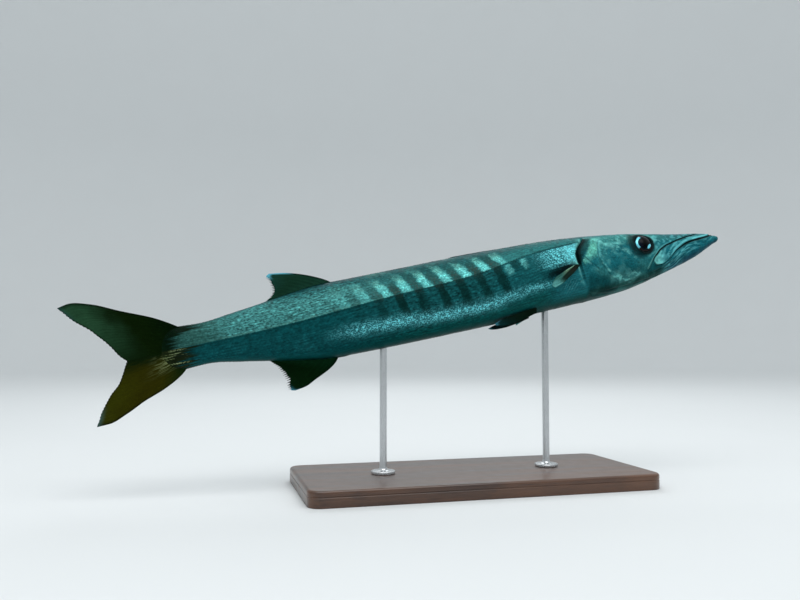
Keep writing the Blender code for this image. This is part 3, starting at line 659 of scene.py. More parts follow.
class Graph:
    """Small helper for writing node materials as formulas."""

    def __init__(self, name):
        self.mat = bpy.data.materials.new(name)
        self.mat.use_nodes = True
        self.t = self.mat.node_tree
        self.b = self.t.nodes["Principled BSDF"]
        self.x = 0

    def new(self, kind, **settings):
        n = self.t.nodes.new(kind)
        self.x += 1
        n.location = (-260 * (self.x // 8) - 300, 320 * (self.x % 8) - 900)
        for k, v in settings.items():
            setattr(n, k, v)
        return n

    def put(self, socket, value):
        if isinstance(value, bpy.types.NodeSocket):
            self.t.links.new(value, socket)
        else:
            if isinstance(value, tuple) and socket.type == "VECTOR":
                value = value[:3]
            socket.default_value = value

    def math(self, op, a, b=0.0, c=None, clamp=False):
        n = self.new("ShaderNodeMath", operation=op, use_clamp=clamp)
        self.put(n.inputs[0], a)
        self.put(n.inputs[1], b)
        if c is not None:
            self.put(n.inputs[2], c)
        return n.outputs[0]

    def add(self, a, b): return self.math("ADD", a, b)
    def sub(self, a, b): return self.math("SUBTRACT", a, b)
    def mul(self, a, b): return self.math("MULTIPLY", a, b)

    def step(self, a, b, x):
        n = self.new("ShaderNodeMapRange", interpolation_type="SMOOTHSTEP")
        self.put(n.inputs["Value"], x)
        self.put(n.inputs["From Min"], a)
        self.put(n.inputs["From Max"], b)
        return n.outputs[0]

    def bump_at(self, x, centre, width):
        d = self.math("DIVIDE", self.sub(x, centre), width)
        return self.math("EXPONENT", self.mul(self.mul(d, d), -1.0))

    def mix(self, f, a, b, blend="MIX"):
        n = self.new("ShaderNodeMix", data_type="RGBA", blend_type=blend)
        self.put(n.inputs[0], f)
        self.put(n.inputs[6], a)
        self.put(n.inputs[7], b)
        return n.outputs[2]

    def mixf(self, f, a, b):
        n = self.new("ShaderNodeMix", data_type="FLOAT")
        self.put(n.inputs[0], f)
        self.put(n.inputs[2], a)
        self.put(n.inputs[3], b)
        return n.outputs[0]

    def scale_colour(self, colour, k):
        n = self.new("ShaderNodeVectorMath", operation="SCALE")
        self.put(n.inputs[0], colour)
        self.put(n.inputs["Scale"], k)
        return n.outputs[0]

    def field(self, name):
        n = self.new("ShaderNodeAttribute", attribute_name=name)
        return n

    def split(self, socket):
        n = self.new("ShaderNodeSeparateXYZ")
        self.put(n.inputs[0], socket)
        return n.outputs[0], n.outputs[1], n.outputs[2]

    def combine(self, x, y, z):
        n = self.new("ShaderNodeCombineXYZ")
        for k, v in enumerate((x, y, z)):
            self.put(n.inputs[k], v)
        return n.outputs[0]

    def noise(self, vector, scale, detail=2.0, rough=0.5, centred=False):
        n = self.new("ShaderNodeTexNoise")
        self.put(n.inputs["Vector"], vector)
        n.inputs["Scale"].default_value = scale
        n.inputs["Detail"].default_value = detail
        n.inputs["Roughness"].default_value = rough
        out = n.outputs[0]
        return self.sub(out, 0.5) if centred else out

    def voronoi(self, vector, scale, feature="F1", randomness=1.0):
        n = self.new("ShaderNodeTexVoronoi", feature=feature)
        self.put(n.inputs["Vector"], vector)
        n.inputs["Scale"].default_value = scale
        n.inputs["Randomness"].default_value = randomness
        return n

    def bump(self, height, strength, distance, normal=None):
        n = self.new("ShaderNodeBump")
        n.inputs["Strength"].default_value = strength
        n.inputs["Distance"].default_value = distance
        self.put(n.inputs["Height"], height)
        if normal is not None:
            self.put(n.inputs["Normal"], normal)
        return n.outputs[0]

    def object_coords(self):
        return self.new("ShaderNodeTexCoord").outputs["Object"]

    def out(self, **inputs):
        for k, v in inputs.items():
            self.put(self.b.inputs[k.replace("_", " ")], v)
        return self.mat


BAR_FIRST, BAR_PITCH = 0.3727, 0.0302


def skin_material(name, scaled):
    """The markings, with painted shade on the belly and painted highlights and
    glints on the flank, shared by the skin and the scales over it.
    """
    G = Graph(name)
    s, g, rand = G.split(G.field("fish").outputs["Vector"])
    q, a, side = G.split(G.field("flank").outputs["Vector"])
    dark, pale, rim = G.split(G.field("mark").outputs["Vector"])
    green, shoulder, _ = G.split(G.field("tint").outputs["Vector"])
    O = G.object_coords()
    n_big = G.noise(O, 28.0, 3.0, 0.55, True)
    n_mid = G.noise(O, 120.0, 3.0, 0.6, True)
    n_fine = G.noise(O, 640.0, 2.0, 0.6, True)
    streak = G.noise(G.combine(G.mul(s, 60.0), G.mul(g, 430.0),
                               G.mul(side, 3.0)), 1.0, 2.0, 0.6, True)
    grain = G.noise(G.combine(G.mul(s, 420.0), G.mul(g, 620.0),
                              G.mul(side, 5.0)), 1.0, 1.0, 0.5, True)
    own = G.sub(rand, 0.5)
    # painted glints: bright flecks of single scales
    glint_speck = G.step(-0.05, 0.17, G.add(G.mul(own, 0.16),
                                      G.mul(grain, 1.5)))
    dash = G.noise(G.combine(G.mul(s, 150.0), G.mul(g, 290.0),
                             G.mul(side, 4.0)), 1.0, 1.0, 0.5, True)
    n_dot = G.noise(O, 330.0, 2.0, 0.6, True)
    row = G.noise(G.combine(G.mul(s, 250.0), G.mul(g, 560.0),
                            G.mul(side, 3.0)), 1.0, 1.0, 0.5, True)

    # ground colour of the trunk, from belly to back; the dark belly is painted
    # shade of the underside
    rear = G.step(0.52, 0.66, s)
    c = G.mix(G.step(-0.98, -0.72, q), rgb(2, 46, 38), rgb(7, 78, 76))
    c = G.mix(G.step(-0.74, -0.42, q), c, rgb(19, 85, 89))
    low_front = G.mul(G.step(0.345, 0.300, s), G.mul(
        G.step(-0.90, -0.68, q), G.step(-0.30, -0.50, q)))
    c = G.mix(G.mul(low_front, 0.80), c, rgb(30, 106, 114))
    mid_dark = G.mul(G.mul(G.step(0.385, 0.43, s), G.step(-0.60, -0.40, q)),
                     0.34)
    c = G.mix(mid_dark, c, rgb(14, 62, 60))
    c = G.mix(G.mul(G.mul(rear, G.step(-1.0, -0.6, q)), 0.92), c,
              rgb(8, 74, 78))
    above = G.step(-0.0004, 0.0010, g)
    up = G.mix(G.step(0.15, 0.60, q), rgb(46, 116, 116), rgb(26, 82, 84))
    up = G.mix(G.step(0.66, 1.0, q), up, rgb(16, 60, 64))
    reach = G.mixf(G.step(0.67, 0.74, s), G.step(0.80, 0.30, q),
                   G.step(1.08, 0.66, q))
    up = G.mix(G.mul(rear, G.mul(0.88, reach)), up, rgb(68, 134, 132))
    cloud = G.mul(G.step(0.0, 0.20, G.add(n_big, G.mul(n_mid, 0.5))),
                  G.mul(G.step(0.32, 0.52, q), G.step(0.98, 0.80, q)))
    up = G.mix(G.mul(cloud, G.mul(G.step(0.72, 0.60, s), 0.42)), up,
               rgb(74, 138, 128))
    c = G.mix(above, c, up)
    wisp = G.mul(G.step(0.0, 0.22, G.add(n_big, G.mul(streak, 0.8))),
                 G.mul(G.step(-0.86, -0.66, q), G.step(-0.10, -0.34, q)))
    c = G.mix(G.mul(G.mul(wisp, rear), 0.34), c, rgb(30, 98, 102))
    rough_part = G.mixf(above, G.mixf(rear, 1.9, 0.9),
                        G.mixf(rear, 0.7, 2.3))
    rough_part = G.mul(rough_part, G.step(-0.92, -0.70, q))
    c = G.scale_colour(c, G.math("MAXIMUM", 0.25, G.add(1.0, G.mul(
        streak, rough_part))))
    net = G.mul(G.mixf(above, G.mul(G.step(0.38, 0.42, s), G.mixf(
        rear, 2.5, 1.2)), G.mixf(rear, 1.2, 1.7)),
                G.mul(G.step(-0.80, -0.60, q), G.step(1.0, 0.70, q)))
    rows = G.mul(G.mixf(above, 0.8, G.mixf(rear, 1.0, 3.0)),
                 G.mul(G.step(-0.80, -0.60, q), G.step(1.0, 0.70, q)))
    c = G.scale_colour(c, G.math("MAXIMUM", 0.22, G.add(1.0, G.add(
        G.mul(dash, net), G.mul(row, rows)))))

    # silver band low on the side, with its glints painted in as bright flecks;
    # the bars end above it
    band = G.add(-0.0574, G.mul(G.sub(s, 0.33), 0.084))
    band = G.add(band, G.mul(n_big, 0.010))

    # bars: square to the body below the line, leaning back above it
    lean = G.add(G.mul(G.math("MAXIMUM", g, 0.0), 0.40),
                 G.mul(G.math("MINIMUM", g, 0.0), 0.21))
    wob = G.mul(n_big, 0.012)
    ph = G.math("DIVIDE", G.sub(G.add(G.sub(s, lean), wob), BAR_FIRST),
                BAR_PITCH)
    wave = G.math("COSINE", G.mul(ph, 2 * PI))
    vary = G.noise(G.combine(G.mul(G.sub(s, lean), 26.0), G.mul(above, 4.0),
                             G.mul(side, 2.0)), 1.0, 1.0, 0.5, True)
    edge = G.add(G.mul(n_mid, 1.2), G.add(G.mul(grain, 1.6),
                                          G.mul(dash, 1.5)))
    bar = G.step(-0.05, 0.62, G.add(wave, edge))
    pale_bar = G.step(-0.15, 0.55, G.sub(G.mul(wave, -1.0), edge))
    strength = G.math("MULTIPLY", G.add(0.88, G.mul(vary, 1.7)), 1.0,
                      clamp=True)
    fade_up = G.mul(G.step(0.386, 0.410, s),
                    G.mixf(G.step(0.54, 0.66, s), 1.0, 0.15))
    qn = G.add(q, G.mul(G.add(n_mid, vary), 0.45))
    fade_up = G.mul(fade_up, G.step(0.56, 0.22, qn))
    low_end = G.add(band, 0.0030)
    fade_lo = G.mul(G.step(0.380, 0.392, s),
                    G.mixf(G.step(0.54, 0.64, s), 1.0, 0.12))
    small = G.mul(G.mul(G.step(0.358, 0.366, s), G.step(0.388, 0.378, s)),
                  G.mul(G.step(-0.020, -0.010, g), 0.55))
    fade_lo = G.math("MAXIMUM", fade_lo, small)
    fade_lo = G.mul(fade_lo, G.step(-0.2, 1.0, G.math(
        "DIVIDE", G.sub(g, low_end), 0.011)))
    up_bar = G.mul(G.mul(bar, above), G.mul(fade_up, strength))
    lo_bar = G.mul(G.mul(bar, G.sub(1.0, above)), G.mul(fade_lo, strength))
    c = G.mix(G.mul(up_bar, 0.74), c, rgb(30, 56, 50))
    c = G.mix(G.mul(lo_bar, 0.90), c, rgb(3, 36, 32))
    # bright patches between the bars, just above the line; the first ones
    # lie just below it
    span = G.mul(G.step(0.376, 0.398, s), G.step(0.68, 0.56, s))
    patch = G.mul(G.mul(pale_bar, above), G.mul(G.step(0.60, 0.28, qn), span))
    patch = G.mul(patch, G.mixf(G.step(0.50, 0.62, s), 1.0, 0.75))
    first = G.mul(G.mul(G.step(0.350, 0.358, s), G.step(0.396, 0.384, s)),
                  G.mul(G.step(-0.022, -0.014, g), G.step(-0.001, -0.004, g)))
    patch = G.math("MAXIMUM", patch, G.mul(G.mul(first, pale_bar), 0.6))
    patch = G.math("MULTIPLY", patch, G.add(0.34, G.mul(glint_speck, 0.62)),
                   clamp=True)
    c = G.mix(patch, c, G.mix(G.step(0.36, 0.16, q), rgb(118, 200, 188),
                              rgb(122, 226, 222)))
    # shoulder: a painted highlight with painted glints
    shoulder_highlight = G.math("MULTIPLY", shoulder, G.add(G.mixf(G.step(0.300, 0.284, s),
                                                   0.12, 0.42),
                                            G.mul(glint_speck, 0.98)), clamp=True)
    c = G.mix(shoulder_highlight, c, rgb(116, 222, 230))
    front = G.step(0.44, 0.37, s)
    spark = G.mixf(front, G.bump_at(g, band, 0.0076),
                   G.bump_at(g, G.add(band, 0.0042), 0.0058))
    spots = G.step(-0.16, 0.10, G.add(n_mid, G.mul(n_big, 0.5)))
    spark = G.mul(spark, G.mixf(front, 1.0, G.add(0.45, G.mul(spots, 0.55))))
    spark = G.mul(spark, G.mul(G.step(0.304, 0.350, s),
                               G.step(0.675, 0.590, s)))
    halo = G.mul(G.step(0.0, 0.010, G.sub(g, band)), G.step(0.020, 0.004,
                 G.sub(g, band)))
    halo = G.mul(G.mul(halo, G.sub(0.30, G.mul(lo_bar, 0.30))),
                 G.mul(G.step(0.34, 0.40, s), G.step(0.66, 0.54, s)))
    spark = G.math("MAXIMUM", spark, halo)
    spark = G.mul(spark, G.mixf(G.step(0.36, 0.42, s), 0.84, 1.0))
    spark = G.math("MULTIPLY", spark, G.add(0.16, G.mul(glint_speck, 1.0)),
                   clamp=True)
    c = G.mix(spark, c, rgb(116, 220, 228))
    # fine slanting lines below the pectoral fin
    slant = G.math("COSINE", G.add(G.mul(G.add(G.mul(s, 0.79),
                                               G.mul(g, 0.61)), 1500.0),
                                   G.mul(n_mid, 7.0)))
    slant = G.mul(G.step(-0.2, 0.8, slant), G.mul(
        G.bump_at(s, 0.2945, 0.0130), G.bump_at(g, -0.0660, 0.0090)))
    slant = G.mul(slant, G.step(-0.15, 0.15, n_dot))
    c = G.mix(G.mul(slant, 0.60), c, rgb(86, 166, 172))
    # brownish touches where the bars meet the line
    touch = G.mul(G.mul(G.bump_at(g, 0.0060, 0.0085), bar), fade_up)
    touch = G.mul(touch, G.step(-0.15, 0.2, G.add(grain, dash)))
    c = G.mix(G.mul(touch, 0.50), c, rgb(66, 62, 52))
    # the line itself: dark in front; behind, a painted highlight along its top
    # with a dark lower edge
    trunk = G.step(0.258, 0.270, s)
    lr = G.step(0.52, 0.64, s)
    broken = G.math("MULTIPLY", G.add(0.55, G.mul(G.add(streak, n_mid), 2.2)),
                    1.0, clamp=True)
    front_line = G.mul(G.mul(trunk, G.sub(1.0, lr)),
                       G.bump_at(g, 0.0, 0.0009))
    c = G.mix(G.mul(front_line, 0.55), c, rgb(12, 36, 32))
    c = G.mix(G.mul(G.mul(lr, G.bump_at(g, 0.0016, 0.0011)),
                    G.mul(broken, 0.34)), c, rgb(112, 178, 164))
    c = G.mix(G.mul(G.mul(lr, G.bump_at(g, -0.0014, 0.0022)),
                    G.mul(G.add(0.4, broken), 0.36)), c, rgb(3, 36, 36))
    # root of the tail: the flank's colour breaks up into the dark rays
    feather = G.noise(G.combine(G.mul(s, 20.0), G.mul(g, 330.0),
                                G.mul(side, 2.0)), 1.0, 2.0, 0.55, True)
    border = G.mixf(above, 0.840, G.mixf(G.step(0.013, 0.027, g),
                                         0.853, 0.828))
    tail = G.step(-0.009, 0.009, G.add(G.sub(s, border),
                                       G.mul(feather, G.mixf(
                                           above, 0.095, 0.060))))
    tail = G.math("MAXIMUM", tail, G.step(0.862, 0.870, s))
    wedge = G.mul(G.mul(G.step(0.824, 0.840, s), G.step(0.0, -0.004, g)),
                  G.step(-0.020, -0.014, g))
    c = G.mix(G.mul(wedge, 0.75), c, rgb(2, 44, 44))
    dull = G.mul(G.step(0.762, 0.834, G.add(s, G.mul(feather, 0.040))), above)
    c = G.mix(G.mul(dull, 0.80), c, rgb(38, 78, 70))
    c = G.mix(tail, c, G.mix(above, rgb(22, 30, 8), rgb(4, 22, 5)))
    ray = G.mul(G.step(0.03, 0.13, feather),
                G.mul(G.step(-0.027, -0.019, g), G.step(0.0020, -0.002, g)))
    ray = G.mul(ray, G.step(0.840, 0.856, G.sub(s, G.mul(g, 0.15))))
    ray = G.mul(ray, G.step(-0.12, 0.06, grain))
    # painted light: a paler end of the flesh below the line, lifting the shade
    # where it turns into the fin
    end = G.mul(G.step(0.857, 0.863, s), G.mul(G.step(-0.030, -0.022, g),
                                               G.step(0.002, -0.003, g)))
    end = G.mul(end, G.step(-0.02, 0.10, G.add(feather, G.mul(grain, 0.2))))
    c = G.mix(G.mul(end, 0.60), c, rgb(96, 108, 66))
    c = G.mix(G.mul(ray, 0.90), c, rgb(146, 164, 120))

    # head; darker towards its underside, which is painted shade
    head = G.step(0.269, 0.261, s)
    h = G.mix(G.step(-1.10, -0.85, a), rgb(3, 46, 42), rgb(7, 70, 74))
    h = G.mix(G.step(-0.80, -0.25, a), h, rgb(22, 98, 106))
    h = G.mix(G.step(0.00, 0.45, a), h, rgb(48, 120, 118))
    h = G.mix(G.step(0.62, 1.10, a), h, rgb(36, 98, 100))
    jaws = G.step(0.135, 0.100, s)
    h = G.mix(G.mul(jaws, G.step(0.10, -0.35, a)), h, rgb(14, 92, 103))
    h = G.mix(G.mul(jaws, G.step(-0.60, -1.05, a)), h, rgb(3, 58, 74))
    h = G.mix(G.mul(jaws, G.step(0.10, 0.50, a)), h, rgb(34, 94, 98))
    h = G.mix(G.mul(G.step(-0.02, 0.24, n_big), 0.28), h, rgb(74, 148, 142))
    h = G.mix(G.mul(G.step(-0.02, -0.24, n_mid), 0.26), h, rgb(6, 62, 66))
    h = G.scale_colour(h, G.add(1.0, G.add(G.mul(n_mid, 0.55),
                                           G.add(G.mul(n_fine, 0.6),
                                                 G.mul(n_dot, 1.1)))))
    nape = G.mul(G.step(0.195, 0.262, s), G.step(0.70, 1.05, a))
    h = G.mix(nape, h, rgb(18, 64, 68))
    c = G.mix(head, c, h)
    c = G.mix(green, c, G.scale_colour(rgb(95, 180, 164), G.add(
        1.0, G.mul(n_dot, 1.8))))
    c = G.mix(pale, c, G.mix(G.step(0.140, 0.115, s), rgb(118, 204, 198),
                             rgb(106, 200, 206)))
    c = G.mix(G.mul(dark, 0.97), c, rgb(1, 12, 12))

    # mottling, and each scale's own tone
    tone = G.add(1.0, G.add(G.mul(n_big, 0.26), G.mul(n_mid, 0.18)))
    own_size = G.mixf(G.step(-0.95, -0.55, q), 0.08, 0.34)
    if scaled:
        tone = G.mul(tone, G.add(1.0, G.mul(own, own_size)))
        tone = G.mul(tone, G.mixf(rim, 1.06, G.mixf(
            G.step(-0.95, -0.6, q), 0.94, 0.76)))
    else:
        tone = G.mul(tone, G.add(1.0, G.mul(n_fine, 0.45)))
    c = G.scale_colour(c, tone)

    lit = G.math("MAXIMUM", patch, G.math("MAXIMUM", shoulder_highlight, spark))
    metal = G.mixf(G.step(-0.2, 0.8, q), 0.14, 0.06)
    metal = G.add(metal, G.mul(lit, 0.30))
    metal = G.mul(metal, G.sub(1.0, G.mul(dark, 0.9)))
    rough = G.add(G.mixf(G.step(0.0, 0.9, q), 0.40, 0.50),
                  G.mul(n_mid, 0.22))
    if scaled:
        rough = G.add(rough, G.mul(own, 0.16))
    rough = G.math("MAXIMUM", rough, 0.18)
    height = G.add(G.mul(n_fine, 0.5), G.mul(n_mid, 0.5))
    normal = G.bump(height, 0.30 if scaled else 0.5, 0.0005)
    if not scaled:
        pores = G.voronoi(O, 700.0)
        normal = G.bump(pores.outputs["Distance"], 0.25, 0.0004, normal)
    G.b.inputs["Specular IOR Level"].default_value = 0.05
    G.b.inputs["Specular Tint"].default_value = (0.55, 0.92, 0.95, 1.0)
    return G.out(Base_Color=c, Metallic=metal, Roughness=rough,
                 Normal=normal)


# -------------------------------------------------------------------- skin
def make_skin():
    n_front, n_gill, n_open, n_trunk = 118, 104, 44, 158
    cols = 112                                   # columns on one side
    # columns, belly (0) to back (1), closer along the jaws
    t_m, t_x = 0.42, 0.53
    base = np.linspace(0, 1, 2001)
    dens = 1 + 2.4 * bump(base - t_m, 0.035) + 1.6 * bump(base - t_x, 0.03)
    cum = np.concatenate([[0], np.cumsum(0.5 * (dens[1:] + dens[:-1]))])
    t = np.interp(np.linspace(0, 1, cols + 1), cum / cum[-1], base)
    k = np.argmin(np.abs(t - t_m))
    t[k] = t_m
    k = np.argmin(np.abs(t - t_x))
    t[k] = t_x
    # rows: straight rings at the ends, one row along the gill opening
    r_a = np.concatenate([[0.0012, 0.0022, 0.0036, 0.0052],
                          np.linspace(0.0070, 0.120, n_front)])
    a_gill = angle(np.full_like(t, 0.262), t)
    s_gill = smooth(GILL_REAR, a_gill)
    u1 = np.linspace(0, 1, n_gill + 1)[1:]
    u1 = 1 - (1 - u1) ** 1.18
    u2 = np.linspace(0, 1, n_open + 1)[1:] ** 1.45
    r_b = 0.120 + (s_gill[None, :] - 0.120) * u1[:, None]
    r_c = s_gill[None, :] + (0.345 - s_gill[None, :]) * u2[:, None]
    r_d = np.linspace(0.345, 0.862, n_trunk + 1)[1:]
    r_e = 0.862 + (FLESH_END - 0.862) * np.linspace(0, 1, 12)[1:]
    S = np.concatenate([np.repeat(r_a[:, None], len(t), 1), r_b, r_c,
                        np.repeat(r_d[:, None], len(t), 1),
                        np.repeat(r_e[:, None], len(t), 1)])
    # share of the half girth for each grid point, following the jaws
    Tm = np.interp(S, T_S, T_MOUTH)
    Tx = np.interp(S, T_S, T_MAX)
    Tx = np.maximum(Tx, Tm + 0.02)
    Tm = np.minimum(Tm, 0.93)
    Tx = np.clip(Tx, Tm + 0.02, 0.965)
    fade = step(0.138, 0.190, S)
    front = 1 - step(0.016, 0.034, S)
    Tm = Tm + (t_m - Tm) * np.maximum(fade, front)
    Tx = Tx + (t_x - Tx) * np.maximum(fade, front)
    tt = np.repeat(t[None, :], len(S), 0)
    F = np.where(tt <= t_m, tt / t_m * Tm,
                 np.where(tt <= t_x, Tm + (tt - t_m) / (t_x - t_m) * (Tx - Tm),
                          Tx + (tt - t_x) / (1 - t_x) * (1 - Tx)))
    A = angle(S, F)
    A[:, 0], A[:, -1] = -0.5 * PI, 0.5 * PI
    rows = len(S)
    # whole rings: right side belly to back, then left side back to belly
    Sr = np.concatenate([S, S[:, -2:0:-1]], 1)
    Ar = np.concatenate([A, A[:, -2:0:-1]], 1)
    Fr = np.concatenate([F, F[:, -2:0:-1]], 1)
    side = np.concatenate([np.ones(cols + 1), -np.ones(cols - 1)])
    side = np.repeat(side[None, :], rows, 0)
    P, N, marks = skin_point(Sr, Ar, side)
    m = P.shape[1]
    V = P.reshape(-1, 3)
    i = np.arange(rows - 1)[:, None] * m
    j = np.arange(m)[None, :]
    jn = (j + 1) % m
    quads = np.stack([i + j, i + jn, i + m + jn, i + m + j], -1)
    quads = quads.reshape(-1, 4)
    tip = place(0.0003, 0.0, -0.0014)
    end = place(FLESH_END + 0.0006, 0.0, -0.0015)
    V = np.concatenate([V, tip[None], end[None]])
    nt, ne = rows * m, rows * m + 1
    jj = np.arange(m)
    fan1 = np.stack([np.full(m, nt), (jj + 1) % m, jj], -1)
    b = (rows - 1) * m
    fan2 = np.stack([np.full(m, ne), b + jj, b + (jj + 1) % m], -1)
    # outward check on one quad
    p0, p1, p2 = V[quads[5000, 0]], V[quads[5000, 1]], V[quads[5000, 2]]
    if np.dot(np.cross(p1 - p0, p2 - p0), N.reshape(-1, 3)[quads[5000, 0]]) < 0:
        quads, fan1, fan2 = quads[:, ::-1], fan1[:, ::-1], fan2[:, ::-1]
    # unwrap: along the body by s, round it by girth, seam at the belly
    ring_v = np.concatenate([0.5 * F, 1 - 0.5 * F[:, -2:0:-1]], 1)
    uv_pt = np.stack([0.01 + Sr * 1.08, 0.005 + ring_v * 0.99], -1)
    uv_pt = np.concatenate([uv_pt.reshape(-1, 2), [[0.01, 0.5]],
                            [[0.97, 0.5]]])
    uv_q = uv_pt[quads]
    wrap = (uv_q[..., 1].max(1) - uv_q[..., 1].min(1)) > 0.5
    vv = uv_q[..., 1]
    vv[wrap] = np.where(vv[wrap] < 0.3, vv[wrap] + 0.99, vv[wrap])
    uv_f1, uv_f2 = uv_pt[fan1], uv_pt[fan2]
    uv = np.concatenate([uv_q.reshape(-1, 2), uv_f1.reshape(-1, 2),
                         uv_f2.reshape(-1, 2)])
    uv = np.clip(uv, 0.0, 1.0)
    G = level_of(Sr, Ar)
    up_len = (1 - lateral_fraction(Sr)) * girth(Sr)
    lo_len = lateral_fraction(Sr) * girth(Sr)
    Q = np.where(G >= 0, G / up_len, G / lo_len)

    def flat(*xs):
        cols3 = [np.concatenate([np.broadcast_to(x, Sr.shape).ravel(),
                                 [x.ravel()[0] if np.ndim(x) else x,
                                  x.ravel()[-1] if np.ndim(x) else x]])
                 for x in (np.asarray(v, float) for v in xs)]
        return np.stack(cols3, -1)
    return build("skin", V, [quads, fan1, fan2], uv,
                 fish=flat(Sr, G, np.asarray(0.5)),
                 flank=flat(Q, Ar, side),
                 mark=flat(marks[..., 0], marks[..., 1], np.asarray(0.0)),
                 tint=flat(marks[..., 2], marks[..., 3], np.asarray(0.0)))


skin_mat = skin_material("fish_skin", False)
scale_mat = skin_material("fish_scales", True)
skin = done(make_skin(), skin_mat, "skin", "head", "jaw_lower",
            "gill_cover_right", "gill_cover_left", "trunk_front",
            "trunk_middle", "trunk_rear", "caudal_peduncle")
print("skin faces", len(skin.data.polygons))


# ------------------------------------------------------------------ scales
def make_scales(side, name):
    """Overlapping rounded plates in rows that follow the lateral line."""
    rng = np.random.default_rng(41 if side > 0 else 42)
    row_gap, pitch0 = 0.0039, 0.0047
    cs, cg, cw, cl = [], [], [], []
    s0, s1 = 0.262, 0.868
    for row in range(-34, 32):
        g = row * row_gap
        s = s0 + (0.5 * (row % 2)) * pitch0
        while s < s1:
            size = 1.0 - 0.24 * float(step(0.60, 0.86, s))
            frac = float(lateral_fraction(s)) + g / float(girth(s))
            if 0.004 < frac < 0.996:
                cs.append(s)
                cg.append(g)
                cw.append(row_gap * 1.30)
                cl.append(pitch0 * size)
            s += pitch0 * size
    cs, cg, cw, cl = (np.array(v) for v in (cs, cg, cw, cl))
    n = len(cs)
    cs = cs + rng.normal(0, 0.00018, n)
    frac = lateral_fraction(cs) + cg / girth(cs) + rng.normal(0, 0.0006, n)
    frac = np.clip(frac, 0.002, 0.998)
    al = angle(cs, frac)
    # smaller plates on the cheek and the gill cover
    hs, hy = [], []
    for row in range(-22, 12):
        for k in range(60):
            hs.append(0.150 + (k + 0.5 * (row % 2)) * 0.0030)
            hy.append(row * 0.0025)
    hs = np.array(hs) + rng.normal(0, 0.00015, len(hs))
    hy = np.array(hy) + rng.normal(0, 0.00015, len(hy))
    hf = fraction(hs, 0 * hs) + hy / girth(hs)
    ha = angle(hs, np.clip(hf, 0.01, 0.99))
    w = maxilla_line.near(hs, hy)[0]
    p = preopercle_line.near(hs, hy)[0]
    sp = spur_line.near(hs, hy)[0]
    q = behind(GILL_REAR, hs, ha)
    ey, ez = outline(hs, ha)
    de = np.sqrt((hs - EYE_S) ** 2 + (ey - EYE_AT[0]) ** 2
                 + (ez - EYE_AT[1]) ** 2)
    on = (hs > 0.162) & (q < -0.0045) & (de > 0.0225) & (np.abs(w) > 0.004)
    on &= (np.abs(p + 0.0015) > 0.0032) & (np.abs(sp) > 0.0012)
    on &= (ha > -0.92) & (ha < 0.60) & (hf > 0.02)
    on &= ~((p > 0) & (ha < -0.80))
    cs, al = np.append(cs, hs[on]), np.append(al, ha[on])
    cg = np.append(cg, level_of(hs[on], ha[on]))
    cw = np.append(cw, np.full(on.sum(), 0.0025 * 1.25))
    cl = np.append(cl, np.full(on.sum(), 0.0030))
    n_head = int(on.sum())
    # leave the gill opening and the pectoral fin's root clear
    q = behind(GILL_REAR, cs, al)
    keep = q > 0.0072
    keep[len(keep) - n_head:] = True
    keep &= ~((np.abs(cs - 0.2815) < 0.0065)
              & (np.abs(al + 0.24) < 0.26))
    cs, al, cw, cl, cg = cs[keep], al[keep], cw[keep], cl[keep], cg[keep]
    n = len(cs)
    P, N, marks = skin_point(cs, al, side)
    dark, pale = marks[:, 0], marks[:, 1]
    fr = fraction(cs, al)
    ahead = skin_point(cs - 0.002, angle(cs - 0.002, fr), side)[0]
    rear = skin_point(cs + 0.002, angle(cs + 0.002, fr), side)[0]
    T = rear - ahead
    T /= np.linalg.norm(T, axis=1, keepdims=True)
    N = N - T * np.sum(N * T, 1, keepdims=True)
    N /= np.linalg.norm(N, axis=1, keepdims=True)
    B = np.cross(T, N) * side                    # up the flank
    # outline of one plate: root in front, rounded free edge behind
    # (along, across, depth of the plate under or over the skin)
    low_relief = np.where(cs < 0.262, 0.45, 1.0)
    front = [(-0.62, -0.34), (-0.62, 0.34)]
    free = [(-0.05, 0.50), (0.34, 0.43), (0.58, 0.25), (0.68, 0.0),
            (0.58, -0.25), (0.34, -0.43), (-0.05, -0.50)]
    rim = np.array(front + free)
    k = len(rim)
    across_fall = rim[:, 1] ** 2
    xs = rim[:, 0][None, :] * (cl * 1.12)[:, None]
    ys = rim[:, 1][None, :] * cw[:, None]
    calm = 0.25 + 0.75 * step(0.10, 0.26, fr)      # smooth belly
    lift = rng.normal(0.0, 0.028, n) * calm
    roll = rng.normal(0.0, 0.042, n) * calm
    zt = -0.00016 + (rim[:, 0][None, :] + 0.62) * 0.00040 \
        * low_relief[:, None]
    zt = zt + xs * lift[:, None] + ys * roll[:, None] \
        - across_fall[None, :] * 0.00026
    thick = 0.00012

    def world(x, y, z):
        return (P[:, None, :] + x[..., None] * T[:, None, :]
                + y[..., None] * B[:, None, :] + z[..., None] * N[:, None, :])
    top = world(xs, ys, zt)
    under = world(xs * 0.97, ys * 0.97, zt - thick)
    mid_x = np.array([[-0.25, 0.22]]) * (cl * 1.12)[:, None]
    mid_z = np.array([[0.00003, 0.00024]]) * low_relief[:, None] \
        + mid_x * lift[:, None]
    mid = world(mid_x, np.zeros_like(mid_x), mid_z)
    verts = np.concatenate([top, under, mid], 1)          # k + k + 2
    per = 2 * k + 2
    c1, c2 = 2 * k, 2 * k + 1
    tri = []
